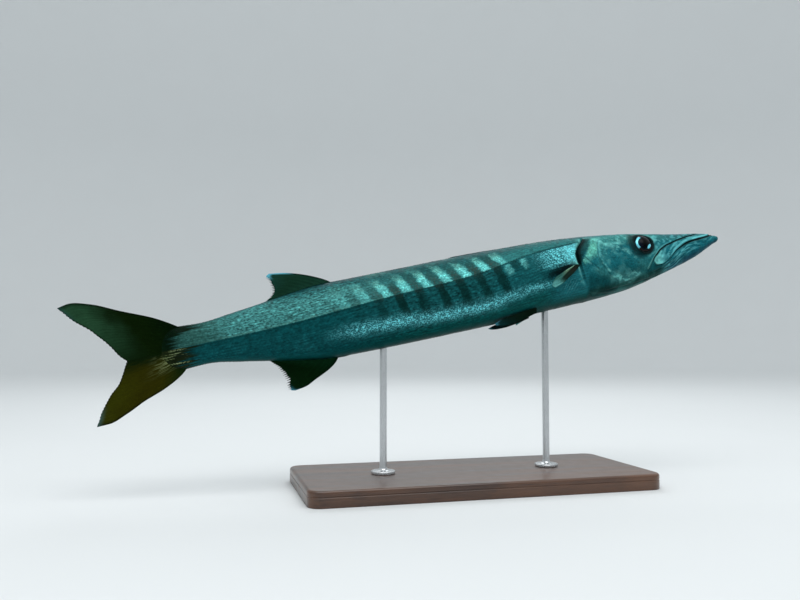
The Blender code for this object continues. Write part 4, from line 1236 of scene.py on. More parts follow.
    # rim order: 0,1 front; 2..8 free edge, right side first
    ring = list(range(k))
    for a0, b0 in zip(ring, ring[1:] + ring[:1]):
        centre = c2 if (a0 in (3, 4, 5, 6) or a0 == 2 or b0 == 8) else c1
        if a0 in (0, 1, 8):
            centre = c1
        tri.append((a0, b0, centre))
    tri.append((2, c2, c1))
    tri.append((8, c1, c2))
    walls = []
    for a0, b0 in zip(ring, ring[1:] + ring[:1]):
        walls.append((b0, a0, k + a0))
        walls.append((b0, k + a0, k + b0))
    bottom = [(k + 0, k + i + 1, k + i) for i in range(1, k - 1)]
    tri = np.array(tri + walls + bottom)
    p = verts[0]
    nrm = np.cross(p[tri[0, 1]] - p[tri[0, 0]], p[tri[0, 2]] - p[tri[0, 0]])
    if np.dot(nrm, N[0]) < 0:
        tri = tri[:, ::-1]
    faces = (np.arange(n)[:, None, None] * per + tri[None]).reshape(-1, 3)
    # each plate's patch on the unwrap of the skin
    local = np.concatenate([rim, rim * 0.96, [[-0.25, 0.0], [0.22, 0.0]]])
    v0 = 0.5 * fr if side > 0 else 1 - 0.5 * fr
    uv_v = np.stack([0.01 + cs * 1.08, 0.005 + v0 * 0.99], -1)[:, None, :] \
        + 0.0030 * local[None] * np.array([1.0, 0.9 * side])
    uv_v = np.clip(uv_v.reshape(-1, 2), 0, 1)
    r = rng.random(n)
    Sx = cs[:, None] + local[:, 0][None] * cl[:, None]
    Gx = cg[:, None] + local[:, 1][None] * cw[:, None]
    up_len = (1 - lateral_fraction(Sx)) * girth(Sx)
    lo_len = lateral_fraction(Sx) * girth(Sx)
    Qx = np.where(Gx >= 0, Gx / up_len, Gx / lo_len)
    one = np.ones_like(Sx)
    edge_mark = np.concatenate([np.array([0.5, 0.5] + [1.0] * 7),
                                np.ones(k), [0.35, 0.0]])
    fish = np.stack([Sx, Gx, r[:, None] * one], -1).reshape(-1, 3)
    flank = np.stack([Qx, al[:, None] * one, side * one], -1).reshape(-1, 3)
    mark = np.stack([dark[:, None] * one, pale[:, None] * one,
                     edge_mark[None] * one], -1).reshape(-1, 3)
    tint = np.stack([marks[:, 2, None] * one, marks[:, 3, None] * one,
                     0 * one], -1).reshape(-1, 3)
    ob = build(name, verts.reshape(-1, 3), faces, uv_v[faces.ravel()],
               smooth_faces=False, fish=fish, flank=flank, mark=mark,
               tint=tint)
    print(name, n, "plates", len(faces), "triangles")
    return ob


for side, tag in ((1, "right"), (-1, "left")):
    done(make_scales(side, "scales_" + tag), scale_mat, "skin")


# -------------------------------------------------------------------- fins
def curve(points, n):
    p = np.array(points, float)
    t = np.concatenate([[0], np.cumsum(np.linalg.norm(np.diff(p, axis=0),
                                                      axis=1))])
    t = t / t[-1]
    q = np.linspace(0, 1, n)
    return np.stack([smooth(list(zip(t, p[:, k])), q)
                     for k in range(p.shape[1])], -1)


def patch(base, trail, lead, rear, nu, nv):
    B, T = curve(base, nu), curve(trail, nu)
    L, R = curve(lead, nv), curve(rear, nv)
    u = np.linspace(0, 1, nu)[:, None, None]
    v = np.linspace(0, 1, nv)[None, :, None]
    return ((1 - v) * B[:, None] + v * T[:, None] + (1 - u) * L[None]
            + u * R[None] - (1 - u) * (1 - v) * B[0] - u * (1 - v) * B[-1]
            - (1 - u) * v * T[0] - u * v * T[-1])


def ray_wave(u, v, rays, split):
    """Ray pattern across a fin: each ray divides beyond v = split."""
    ph = u * rays
    one = 0.5 + 0.5 * np.cos(2 * PI * ph)
    two = 0.5 + 0.5 * np.cos(4 * PI * ph + PI)
    k = step(split, split + 0.25, v)
    return one ** 1.5 * (1 - k) + two ** 1.3 * k


def fin_sheet(name, mid, normal, rays, root, edge, power, ragged, seed,
              split=0.35, relief_height=0.00022, rim_edges=(1, 1),
              whole=0.06):
    """Solid fin with rays from a grid of middle points (u along the root,
    v outwards). ragged: how deep the free edge is nicked, in metres, and
    whole: the part of it next to the tip that isn't."""
    nu, nv = mid.shape[:2]
    u = np.linspace(0, 1, nu)[:, None] + np.zeros((1, nv))
    v = np.linspace(0, 1, nv)[None, :] + np.zeros((nu, 1))
    length = np.linalg.norm(mid[:, -1] - mid[:, 0], axis=-1)
    # nicks between the ray tips
    rng = np.random.default_rng(seed)
    nick = np.abs(np.sin(PI * u[:, 0] * rays * 2)) ** 0.7
    depth = 0.35 + 0.65 * np.interp(u[:, 0], np.linspace(0, 1, rays + 1),
                                    rng.random(rays + 1))
    cut = ragged * nick * depth / np.maximum(length, 0.004)
    cut = np.minimum(cut, 0.25) * step(0.4 * whole, 1.6 * whole, u[:, 0])
    vv = v * (1 - cut[:, None] * step(0.5, 1.0, v))
    # resample along v
    idx = vv * (nv - 1)
    i0 = np.clip(idx.astype(int), 0, nv - 2)
    f = (idx - i0)[..., None]
    rows = np.arange(nu)[:, None]
    m = mid[rows, i0] * (1 - f) + mid[rows, i0 + 1] * f
    nn = normal[rows, i0]
    half = 0.5 * (root + (edge - root) * v ** power)
    wave = ray_wave(u, v, rays, split)
    half = half + relief_height * (wave - 0.4) * (1 - 0.6 * v) * step(0, 0.1, v)
    rim = np.ones((nu, nv))
    k = max(2, nu // 60)
    for i in range(k):
        w = math.sqrt(1 - (1 - (i + 0.5) / k) ** 2)
        if rim_edges[0]:
            rim[i] = np.minimum(rim[i], w)
        if rim_edges[1]:
            rim[-1 - i] = np.minimum(rim[-1 - i], w)
    half = np.maximum(half * rim, 0.00012)
    half[:, -1] = np.minimum(half[:, -1], 0.00012)
    a, b = m + nn * half[..., None], m - nn * half[..., None]
    V = np.concatenate([a.reshape(-1, 3), b.reshape(-1, 3)])
    n = nu * nv
    i = np.arange(nu - 1)[:, None] * nv
    j = np.arange(nv - 1)[None, :]
    q = np.stack([i + j, i + j + 1, i + nv + j + 1, i + nv + j], -1)
    q = q.reshape(-1, 4)
    back = (q + n)[:, ::-1]
    loop = [(0, c) for c in range(nv)] + [(r, nv - 1) for r in range(1, nu)] \
        + [(nu - 1, c) for c in range(nv - 2, -1, -1)] \
        + [(r, 0) for r in range(nu - 2, 0, -1)]
    ids = np.array([r * nv + c for r, c in loop])
    nxt = np.roll(ids, -1)
    wall = np.stack([nxt, ids, ids + n, nxt + n], -1)
    faces = np.concatenate([q, back, wall])
    # facing: the first sheet should face along +normal
    p = V[q[len(q) // 2]]
    if np.dot(np.cross(p[1] - p[0], p[2] - p[0]),
              nn.reshape(-1, 3)[q[len(q) // 2, 0]]) < 0:
        faces = faces[:, ::-1]
    fu, fv = u.ravel(), v.ravel()
    uv_pt = np.concatenate([np.stack([0.02 + 0.46 * fu, 0.02 + 0.96 * fv], -1),
                            np.stack([0.52 + 0.46 * fu, 0.02 + 0.96 * fv],
                                     -1)])
    fin = np.stack([fu, fv, wave.ravel()], -1)
    fin = np.concatenate([fin, fin])
    return build(name, V, faces, uv_pt[faces.ravel()], fin=fin)


def fin_material(name, root, body, outer, rim, tip=None, tip_from=0.8,
                 ray_tone=0.25, margin=0.06, scaly=None, top=None,
                 rough=0.55):
    """Fin skin and rays: root, body and outer colours from the root
    outwards, a dark rim, a pale outer end of the leading edge (tip), pale
    scraps near the root (scaly), and another colour towards u = 1 (top)."""
    G = Graph(name)
    u, v, w = G.split(G.field("fin").outputs["Vector"])
    O = G.object_coords()
    n_big = G.noise(O, 45.0, 3.0, 0.6, True)
    n_fine = G.noise(O, 420.0, 3.0, 0.6, True)
    fibre = G.noise(G.combine(G.mul(u, 60.0), G.mul(v, 4.0), 0.7), 1.0,
                    3.0, 0.6, True)
    vv = G.add(v, G.mul(n_big, 0.25))
    c = G.mix(G.step(0.05, 0.45, vv), root, body)
    c = G.mix(G.mul(G.step(0.50, 1.02, vv), G.step(1.15, 0.35, u)), c, outer)
    c = G.mix(G.mul(G.sub(1.0, w), ray_tone), c, G.scale_colour(c, 0.50))
    c = G.scale_colour(c, G.add(1.0, G.mul(fibre, 0.55)))
    if top is not None:
        c = G.mix(G.step(0.70, 0.98, G.add(u, G.mul(fibre, 0.40))), c, top)
    if scaly is not None:
        streak = G.noise(G.combine(G.mul(u, 34.0), G.mul(v, 6.0), 0.3), 1.0,
                         2.0, 0.6)
        where = G.mul(G.step(scaly[1], 0.02, v), G.step(0.47, 0.60, streak))
        where = G.mul(where, G.mul(G.step(scaly[2], scaly[3], u), 0.85))
        c = G.mix(where, c, scaly[0])
    edge = G.step(1.0 - margin, 1.0, G.add(v, G.mul(n_fine, 0.03)))
    lead = G.step(0.060, 0.010, u)
    c = G.mix(G.mul(edge, 0.75), c, rim)
    c = G.mix(G.mul(lead, 0.70), c, rim)
    if tip is not None:
        where = G.math("MAXIMUM", G.step(0.075, 0.020, u),
                       G.mul(G.step(0.90, 0.97, v), G.step(0.32, 0.10, u)))
        where = G.mul(where, G.step(tip_from, tip_from + 0.22, v))
        c = G.mix(G.mul(where, 0.88), c, tip)
    c = G.scale_colour(c, G.add(1.0, G.add(G.mul(n_big, 0.35),
                                           G.mul(n_fine, 0.40))))
    # joints of the rays, fine cross lines towards the edge
    seg = G.math("COSINE", G.mul(v, 150.0))
    h = G.add(G.mul(w, 0.5), G.mul(G.mul(seg, w), 0.10))
    h = G.add(h, G.mul(n_fine, 0.5))
    normal = G.bump(h, 0.4, 0.0004)
    return G.out(Base_Color=c, Roughness=G.add(rough, G.mul(n_fine, 0.25)),
                 Normal=normal, Specular_IOR_Level=0.02)


def back_line(s0, s1, k, lift, n=7):
    return [(s, float(station(s, k)) + lift) for s in np.linspace(s0, s1, n)]


def median(name, base, trail, lead, rear, nu, nv, wave=(0.0, 0.0), pin=0,
           **kw):
    """Fin in the middle plane. wave: ripple and lean of its outer part; pin:
    how strongly the edge at u = 1 is kept from leaning."""
    grid = patch(base, trail, lead, rear, nu, nv)
    s, z = grid[..., 0], grid[..., 1]
    v = np.linspace(0, 1, nv)[None, :] + np.zeros((nu, 1))
    u = np.linspace(0, 1, nu)[:, None] + np.zeros((1, nv))
    y = wave[0] * v ** 2 * np.sin(PI * (0.2 + 1.4 * u)) \
        + wave[1] * v ** 2 * (1 - u) ** pin
    mid = place(s, y, z)
    normal = directions(s)[1]
    return fin_sheet(name, mid, normal, **kw)


SINK = 0.0022                   # fins start this far under the skin
base = back_line(0.632, 0.7285, 1, -SINK)
d2 = median("second_dorsal_fin", base,
            [(0.7168, 0.0746), (0.7232, 0.0700), (0.7186, 0.0600),
             (0.7186, 0.0490), (0.7304, 0.0376)],
            [base[0], (0.6400, 0.0508), (0.6536, 0.0580), (0.6746, 0.0662),
             (0.6960, 0.0718), (0.7168, 0.0746)],
            [base[-1], (0.7304, 0.0376)], 170, 48, wave=(0.0012, 0.0),
            rays=10, root=0.0050, edge=0.0007, power=0.42, ragged=0.0090,
            seed=5, whole=0.16)
fin_dark = fin_material("fin_dark", rgb(22, 58, 44), rgb(17, 50, 36),
                        rgb(22, 58, 48), rgb(6, 24, 18), rgb(96, 176, 196),
                        0.58)
done(d2, fin_dark, "fin_dark", "fin_dorsal_second")

base = back_line(0.645, 0.7365, 2, SINK)
an = median("anal_fin", base,
            [(0.7140, -0.0896), (0.7242, -0.0866), (0.7256, -0.0740),
             (0.7296, -0.0600), (0.7396, -0.0440)],
            [base[0], (0.6520, -0.0640), (0.6600, -0.0698),
             (0.6850, -0.0813), (0.6990, -0.0874), (0.7140, -0.0896)],
            [base[-1], (0.7396, -0.0440)], 170, 48, wave=(0.0012, 0.0),
            rays=10, root=0.0050, edge=0.0007, power=0.42, ragged=0.0090,
            seed=6, whole=0.12)
fin_anal = fin_material("fin_anal", rgb(5, 40, 18), rgb(2, 26, 4),
                        rgb(4, 29, 7), rgb(2, 16, 5), rgb(74, 150, 170),
                        0.84)
done(an, fin_anal, "fin_dark", "fin_anal")

FORK = 0.9189
C0 = 0.8440                     # the tail's rays start inside the flesh
root_up = [(C0, 0.0240), (C0, 0.012), (C0, -0.0028)]
up = median("tail_fin_upper", root_up,
            [(0.9888, 0.0794), (0.9765, 0.0627), (0.9559, 0.0433),
             (0.9359, 0.0180), (0.9265, 0.0030), (FORK, -0.0048)],
            [root_up[0], (0.8540, 0.0310), (0.8744, 0.0434),
             (0.9154, 0.0616), (0.9500, 0.0772), (0.9730, 0.0826),
             (0.9888, 0.0794)],
            [root_up[-1], (FORK, -0.0048)], 190, 84, wave=(0.0, 0.0045),
            pin=0.8, rays=11, root=0.0130, edge=0.0007, power=0.36,
            ragged=0.0013, seed=7, split=0.30, rim_edges=(1, 0),
            relief_height=0.00014)
tail_up = fin_material("fin_tail_upper", rgb(1, 17, 1), rgb(7, 23, 1),
                       rgb(35, 68, 46), rgb(4, 13, 4), rgb(96, 160, 160),
                       0.95, margin=0.03, ray_tone=0.15)
done(up, tail_up, "fin_dark", "fin_caudal_upper")

root_low = [(C0, -0.0268), (C0, -0.016), (C0, -0.0012)]
low = median("tail_fin_lower", root_low,
             [(0.9702, -0.0795), (0.9630, -0.0649), (0.9466, -0.0429),
              (0.9341, -0.0310), (0.9235, -0.0120), (FORK, -0.0034)],
             [root_low[0], (0.8560, -0.0372), (0.8798, -0.0500),
              (0.9072, -0.0602), (0.9306, -0.0710), (0.9550, -0.0792),
              (0.9702, -0.0795)],
             [root_low[-1], (FORK, -0.0034)], 190, 84, wave=(0.0, -0.0035),
             pin=0.8, rays=11, root=0.0126, edge=0.0007, power=0.36,
             ragged=0.0013, seed=8, split=0.30, rim_edges=(1, 0),
             relief_height=0.00014)
tail_low = fin_material("fin_tail_lower", rgb(18, 34, 6),
                        rgb(42, 41, 1), rgb(47, 50, 4), rgb(8, 15, 3),
                        rgb(120, 172, 168), 0.93, margin=0.035,
                        ray_tone=0.15,
                        scaly=(rgb(138, 152, 104), 0.66, 0.32, 0.62),
                        top=rgb(8, 24, 4))
done(low, tail_low, "fin_olive", "fin_caudal_lower")


# folded first dorsal fin: five spines lying in the groove, one behind and
# over the next
def tube(points, radii, sides=10):
    p = np.array(points, float)
    d = np.gradient(p, axis=0)
    d /= np.linalg.norm(d, axis=1, keepdims=True)
    ref = np.array([0.0, 1.0, 0.0])
    e1 = np.cross(d, ref)
    e1 /= np.linalg.norm(e1, axis=1, keepdims=True)
    e2 = np.cross(d, e1)
    t = np.linspace(0, 2 * PI, sides, endpoint=False)
    V = (p[:, None] + np.asarray(radii)[:, None, None]
         * (np.cos(t)[None, :, None] * e1[:, None]
            + np.sin(t)[None, :, None] * e2[:, None]))
    n = len(p)
    i = np.arange(n - 1)[:, None] * sides
    j = np.arange(sides)[None, :]
    q = np.stack([i + j, i + sides + j, i + sides + (j + 1) % sides,
                  i + (j + 1) % sides], -1).reshape(-1, 4)
    V = np.concatenate([V.reshape(-1, 3), p[:1], p[-1:]])
    jj = np.arange(sides)
    c0 = np.stack([jj, (jj + 1) % sides, np.full(sides, n * sides)], -1)
    b = (n - 1) * sides
    c1 = np.stack([b + (jj + 1) % sides, b + jj,
                   np.full(sides, n * sides + 1)], -1)
    return V, q, np.concatenate([c0, c1])


def join(parts):
    V, Q, T, off = [], [], [], 0
    for v, q, t in parts:
        V.append(v)
        Q.append(q + off)
        T.append(t + off)
        off += len(v)
    return np.concatenate(V), [np.concatenate(Q), np.concatenate(T)]


spines = []
for k in range(5):
    s_root = 0.3865 + 0.0125 * k
    reach = (0.040, 0.038, 0.034, 0.028, 0.022)[k]
    t = np.linspace(0, 1, 16)
    ss = s_root + reach * t
    lift = 0.0002 + 0.0010 * np.sin(PI * np.minimum(t * 1.05, 1.0)) ** 0.8
    zz = station(ss, 1) - 0.0004 + lift
    yy = 0.0007 * (-1) ** k * t
    spines.append(tube(place(ss, yy, zz), 0.0011 * (1 - 0.75 * t) + 0.0001))
V, F = join(spines)
first = build("first_dorsal_spines", V, F)
fold_mat = Graph("fin_folded")
_O = fold_mat.object_coords()
_n = fold_mat.noise(_O, 300.0, 3.0, 0.6, True)
_c = fold_mat.scale_colour(rgb(18, 58, 58),
                           fold_mat.add(1.0, fold_mat.mul(_n, 0.8)))
fold_mat.out(Base_Color=_c, Roughness=fold_mat.add(0.4, fold_mat.mul(_n, .3)),
             Normal=fold_mat.bump(_n, 0.4, 0.0004), Specular_IOR_Level=0.15)
done(first, fold_mat.mat, "fin_dark", "fin_dorsal_first")


def paired(name, side, at, along, across, out, length, width, tip_width,
           narrow, curl, nu, nv, **kw):
    along = np.array(along, float)
    along /= np.linalg.norm(along)
    across = np.array(across, float)
    across -= along * np.dot(across, along)
    across /= np.linalg.norm(across)
    face = np.cross(along, across)
    lead = [(0, -0.5 * narrow * width),
            (0.35 * length, (-0.50 - 0.16 * narrow) * width),
            (0.75 * length, -0.62 * width), (length, -0.20 * width)]
    rear = [(0, 0.5 * narrow * width),
            (0.30 * length, (0.20 + 0.75 * narrow) * width),
            (0.62 * length, 0.5 * width + tip_width)]
    trail = [lead[-1], (0.97 * length, 0.25 * width),
             (0.84 * length, 0.35 * width + 0.7 * tip_width), rear[-1]]
    grid = patch([lead[0], rear[0]], trail, lead, rear, nu, nv)
    p, q = grid[..., 0], grid[..., 1]
    v = np.linspace(0, 1, nv)[None, :] + np.zeros((nu, 1))
    # the root is pushed into the body so that no gap shows
    p = p - 0.0045 * (1 - v) ** 3
    bow = curl * (p / length) ** 2
    off = (p[..., None] * along + q[..., None] * across
           + bow[..., None] * np.array(out, float))
    s = at[0] + off[..., 0]
    y = side * (at[1] + off[..., 1])
    z = at[2] + off[..., 2]
    here = np.full_like(s, at[0])
    back, right = directions(here)
    mid = (TIP - s[..., None] * AXIS + y[..., None] * right
           + z[..., None] * back)
    normal = (-face[0] * AXIS + side * face[1] * right[0, 0]
              + face[2] * back[0, 0])
    normal = np.broadcast_to(normal, mid.shape)
    return fin_sheet(name, mid, normal, **kw)


def pectoral_material():
    """Clear brownish-green blade: black along its lower edge, fine pale rays
    above, a painted highlight along the upper edge near the root, and a bluish
    end."""
    G = Graph("fin_pectoral")
    u, v, w = G.split(G.field("fin").outputs["Vector"])
    O = G.object_coords()
    n_fine = G.noise(O, 420.0, 3.0, 0.6, True)
    fibre = G.noise(G.combine(G.mul(u, 42.0), G.mul(v, 3.5), 0.7), 1.0,
                    3.0, 0.6, True)
    c = G.mix(G.step(0.36, 0.72, v), rgb(90, 114, 92), rgb(48, 96, 90))
    far = G.mul(G.step(0.66, 0.92, G.add(v, G.mul(fibre, 0.5))),
                G.step(0.78, 0.22, u))
    c = G.mix(G.mul(far, 0.70), c, rgb(92, 164, 162))
    c = G.mix(G.mul(G.step(0.10, -0.12, fibre), 0.70), c, rgb(26, 66, 56))
    c = G.mix(G.mul(G.sub(1.0, w), 0.25), c, G.scale_colour(c, 0.5))
    strip = G.add(G.mixf(v, 0.92, 0.10), G.mul(fibre, 0.34))
    low = G.math("MULTIPLY", G.step(0.08, -0.08, G.sub(u, strip)),
                 G.step(0.82, 0.60, v))
    c = G.mix(G.mul(low, 0.95), c, rgb(5, 20, 14))
    flush = G.mul(G.bump_at(v, 0.20, 0.12), G.bump_at(u, 0.30, 0.22))
    c = G.mix(G.mul(flush, 0.40), c, rgb(44, 24, 24))
    # painted highlight along the blade's upper edge near the root
    rim = G.mul(G.step(0.86, 0.94, G.add(u, G.mul(fibre, 0.12))),
                G.mul(G.step(0.06, 0.12, v), G.step(0.62, 0.34, v)))
    c = G.mix(G.mul(rim, 0.85), c, rgb(136, 188, 160))
    c = G.scale_colour(c, G.add(1.0, G.mul(n_fine, 0.45)))
    normal = G.bump(G.add(G.mul(w, 0.5), G.mul(n_fine, 0.4)), 0.4, 0.0004)
    return G.out(Base_Color=c, Roughness=G.add(0.7, G.mul(n_fine, 0.2)),
                 Normal=normal, Specular_IOR_Level=0.01)


pec_mat = pectoral_material()
pel_mat = fin_material("fin_pelvic", rgb(3, 22, 10), rgb(4, 26, 16),
                       rgb(12, 50, 52), rgb(4, 22, 16), rgb(70, 140, 156),
                       0.80)
for side, tag in ((1, "right"), (-1, "left")):
    ob = paired("pectoral_" + tag, side, (0.2815, 0.0427, -0.0128),
                (0.80, 0.45, -0.38), (0.50, -0.62, 0.55), (0.3, -0.2, 0.9),
                0.084, 0.0115, 0.0042, 0.5, -0.004, 110, 40, rays=13,
                root=0.0026, edge=0.0006, power=0.5, ragged=0.0010, seed=9,
                relief_height=0.00014)
    done(ob, pec_mat, "fin_dark", "fin_pectoral_" + tag)
    ob = paired("pelvic_" + tag, side, (0.3560, 0.0180, -0.0568),
                (0.985, -0.06, -0.105), (0.15, -0.72, -0.62), (0, 0, -1),
                0.063, 0.0090, 0.0052, 1.0, 0.0, 70, 30, rays=6, root=0.0022,
                edge=0.0006, power=0.5, ragged=0.0010, seed=10,
                relief_height=0.00014)
    done(ob, pel_mat, "fin_pale", "fin_pelvic_" + tag)


# -------------------------------------------------------------------- eyes
def make_eye(side, tag):
    """Ball with a low dome on its front, painted with the iris and pupil."""
    rings, across = 56, 96
    centre = place(EYE_S, side * EYE_Y, EYE_Z)
    back, right = directions(EYE_S)
    out = right * side + 0.06 * AXIS - 0.02 * back
    out = out / np.linalg.norm(out)
    e1 = AXIS - out * np.dot(AXIS, out)
    e1 = e1 / np.linalg.norm(e1)
    e2 = np.cross(out, e1) * side
    t = (np.arange(rings + 1) / rings) ** 1.0 * PI
    p = np.arange(across) / across * 2 * PI
    tt, pp = np.meshgrid(t[1:-1], p, indexing="ij")
    dome = 0.0006 * bump(np.sin(tt) / 0.55, 1) * (tt < PI / 2)
    depth = EYE_DEPTH - 0.0008
    V = (centre + ((depth * np.cos(tt) + dome))[..., None] * out
         + (EYE_RADIUS - 0.0002) * np.sin(tt)[..., None]
         * (np.cos(pp)[..., None] * e1 + np.sin(pp)[..., None] * e2))
    V = np.concatenate([V.reshape(-1, 3),
                        [centre + out * (depth + 0.0006)],
                        [centre - out * depth]])
    n = rings - 1
    i = np.arange(n - 1)[:, None] * across
    j = np.arange(across)[None, :]
    jn = (j + 1) % across
    q = np.stack([i + j, i + across + j, i + across + jn, i + jn],
                 -1).reshape(-1, 4)
    jj = np.arange(across)
    top = np.stack([np.full(across, n * across), jj, (jj + 1) % across], -1)
    b = (n - 1) * across
    bot = np.stack([np.full(across, n * across + 1), b + (jj + 1) % across,
                    b + jj], -1)
    faces = [q, top, bot]
    m = V[q[0]]
    if np.dot(np.cross(m[1] - m[0], m[2] - m[0]), out) < 0:
        faces = [f[:, ::-1] for f in faces]
    # radial place on the front: x forward, y up, z front or rear
    x = (np.sin(tt) * np.cos(pp)).ravel()
    y = (np.sin(tt) * np.sin(pp)).ravel()
    z = np.cos(tt).ravel()
    if np.dot(e2, back[0] if back.ndim > 1 else back) < 0:
        y = -y
    iris = np.stack([np.append(x, [0, 0]), np.append(y, [0, 0]),
                     np.append(z, [1, -1])], -1)
    uv_pt = np.stack([np.where(iris[:, 2] >= 0, 0.25, 0.75)
                      + 0.23 * iris[:, 0], 0.5 + 0.46 * iris[:, 1]], -1)
    uv = np.concatenate([uv_pt[f].reshape(-1, 2) for f in faces])
    return build("eyeball_" + tag, V, faces, uv, iris=iris)


def eye_material():
    G = Graph("eye_glass")
    x, y, z = G.split(G.field("iris").outputs["Vector"])
    xx = G.add(x, 0.10)
    yy = G.add(y, -0.02)
    r0 = G.math("SQRT", G.add(G.mul(x, x), G.mul(y, y)))
    th0 = G.math("ARCTAN2", y, x)
    r = G.math("SQRT", G.add(G.mul(xx, xx), G.mul(yy, yy)))
    th = G.math("ARCTAN2", yy, xx)
    streak = G.noise(G.combine(G.mul(th0, 7.0), G.mul(r0, 3.0), 0.0), 1.0,
                     3.0, 0.6, True)
    # silver in two parts: a crescent behind, and a short patch low in front
    behind = G.math("COSINE", G.sub(th0, 2.72))
    edge = G.add(behind, G.mul(streak, 0.10))
    silver = G.mul(G.step(0.54, 0.72, edge),
                   G.mul(G.step(0.60, 0.66, r0), G.step(0.86, 0.82, r0)))
    fx, fy = G.sub(x, 0.36), G.add(y, 0.41)
    along = G.add(G.mul(fx, 0.80), G.mul(fy, 0.60))
    over = G.sub(G.mul(fy, 0.80), G.mul(fx, 0.60))
    thin = G.math("SQRT", G.add(G.math("POWER", G.mul(along, 3.1), 2.0),
                                G.math("POWER", G.mul(over, 7.2), 2.0)))
    thin = G.step(1.15, 0.75, thin)
    iris_c = G.mix(silver, rgb(5, 20, 24), rgb(126, 222, 240))
    iris_c = G.scale_colour(iris_c, G.add(1.0, G.mul(streak, 0.7)))
    ring = G.mul(G.bump_at(r0, 0.770, 0.030), G.step(-0.30, -0.52, y))
    iris_c = G.mix(G.mul(ring, 0.80), iris_c, rgb(56, 36, 32))
    pupil = G.step(0.590, 0.560, r)
    c = G.mix(pupil, iris_c, G.mix(G.step(-0.05, -0.45, xx), rgb(1, 4, 6),
                                   rgb(2, 10, 26)))
    c = G.mix(G.mul(thin, 0.95), c, rgb(120, 216, 236))
    outer = G.step(0.86, 0.92, r0)
    c = G.mix(outer, c, rgb(2, 8, 10))
    metal = G.mul(G.mul(silver, G.sub(1.0, pupil)), G.sub(1.0, outer))
    h = G.mul(streak, G.sub(1.0, pupil))
    return G.out(Base_Color=c, Metallic=G.mul(metal, 0.30), Roughness=0.16,
                 Normal=G.bump(h, 0.2, 0.0003), Specular_IOR_Level=0.07)


eye_mat = eye_material()
for side, tag in ((1, "right"), (-1, "left")):
    done(make_eye(side, tag), eye_mat, "eye", "eye_" + tag)


# ------------------------------------------------------------------- stand
def wood_material():
    G = Graph("stand_wood")
    O = G.object_coords()
    x, y, z = G.split(O)
    warp = G.noise(O, 6.0, 2.0, 0.5, True)
    long = G.combine(G.mul(x, 1.6), G.add(G.mul(y, 26.0), G.mul(warp, 1.4)),
                     G.mul(z, 26.0))
    grain = G.noise(long, 1.6, 5.0, 0.62)
    pores = G.noise(G.combine(G.mul(x, 16.0), G.mul(y, 420.0),
                              G.mul(z, 420.0)), 1.0, 2.0, 0.7)
    c = G.mix(G.step(0.32, 0.70, grain), rgb(52, 32, 22), rgb(96, 62, 40))
    c = G.mix(G.mul(G.step(0.62, 0.74, pores), 0.55), c, rgb(28, 17, 12))
    n2 = G.noise(O, 60.0, 3.0, 0.5, True)
    rough = G.add(0.34, G.add(G.mul(G.sub(grain, 0.5), 0.22),
                              G.mul(n2, 0.10)))
    h = G.add(G.mul(pores, -0.6), G.mul(grain, 0.4))
    return G.out(Base_Color=c, Roughness=rough,
                 Normal=G.bump(h, 0.25, 0.0005), Coat_Weight=0.30,
                 Coat_Roughness=0.20)


def steel_material():
    G = Graph("stand_steel")
    O = G.object_coords()
    x, y, z = G.split(O)
    line = G.noise(G.combine(G.mul(x, 900.0), G.mul(y, 900.0),
                             G.mul(z, 18.0)), 1.0, 2.0, 0.6, True)
    n = G.noise(O, 40.0, 2.0, 0.5, True)
    c = G.scale_colour(rgb(196, 198, 200), G.add(1.0, G.mul(n, 0.18)))
    return G.out(Base_Color=c, Metallic=1.0,
                 Roughness=G.add(0.27, G.add(G.mul(line, 0.22),
                                             G.mul(n, 0.12))),
                 Normal=G.bump(line, 0.12, 0.0003))


BASE_LENGTH, BASE_WIDTH, BASE_THICK = 0.500, 0.210, 0.022


def rounded_base():
    """Board with round corners, a cove and a soft top edge."""
    profile = [(0.0, 0.0008), (0.0006, 0.0002), (0.0014, 0.0)]
    lower = [(0.0010, 0.0), (0.0003, 0.0004), (0.0, 0.0012)]
    edge = []
    for k in range(9):                     # rounded top edge
        a = 0.5 * PI * k / 8
        edge.append((0.0040 * (1 - math.cos(a)),
                     BASE_THICK - 0.0040 * (1 - math.sin(a))))
    prof = [(0.0060, 0.0)] + lower + [(0.0, 0.0110), (0.0, 0.0125),
                                      (0.0006, 0.0131), (0.0006, 0.0138),
                                      (0.0, 0.0144)] + edge \
        + [(0.0070, BASE_THICK)]
    corner, straight = 14, 14
    rows = []
    for inset, z in prof:
        hx, hy = BASE_LENGTH / 2 - inset, BASE_WIDTH / 2 - inset
        r = max(0.018 - inset, 0.004)
        row = []
        for qx, qy, start in ((1, 1, 0), (-1, 1, 90), (-1, -1, 180),
                              (1, -1, 270)):
            for k in range(corner + 1):
                a = math.radians(start + 90 * k / corner)
                row.append((qx * (hx - r) + r * math.cos(a),
                            qy * (hy - r) + r * math.sin(a), z))
        rows.append(row)
    R = np.array(rows)
    n, m = R.shape[:2]
    V = np.concatenate([R.reshape(-1, 3), [[0, 0, 0]], [[0, 0, BASE_THICK]]])
    i = np.arange(n - 1)[:, None] * m
    j = np.arange(m)[None, :]
    jn = (j + 1) % m
    q = np.stack([i + j, i + jn, i + m + jn, i + m + j], -1).reshape(-1, 4)
    jj = np.arange(m)
    bot = np.stack([(jj + 1) % m, jj, np.full(m, n * m)], -1)
    b = (n - 1) * m
    top = np.stack([b + jj, b + (jj + 1) % m, np.full(m, n * m + 1)], -1)
    ob = build("stand_board", V, [q, bot, top])
    ob.data.set_sharp_from_angle(angle=math.radians(35))
    return ob


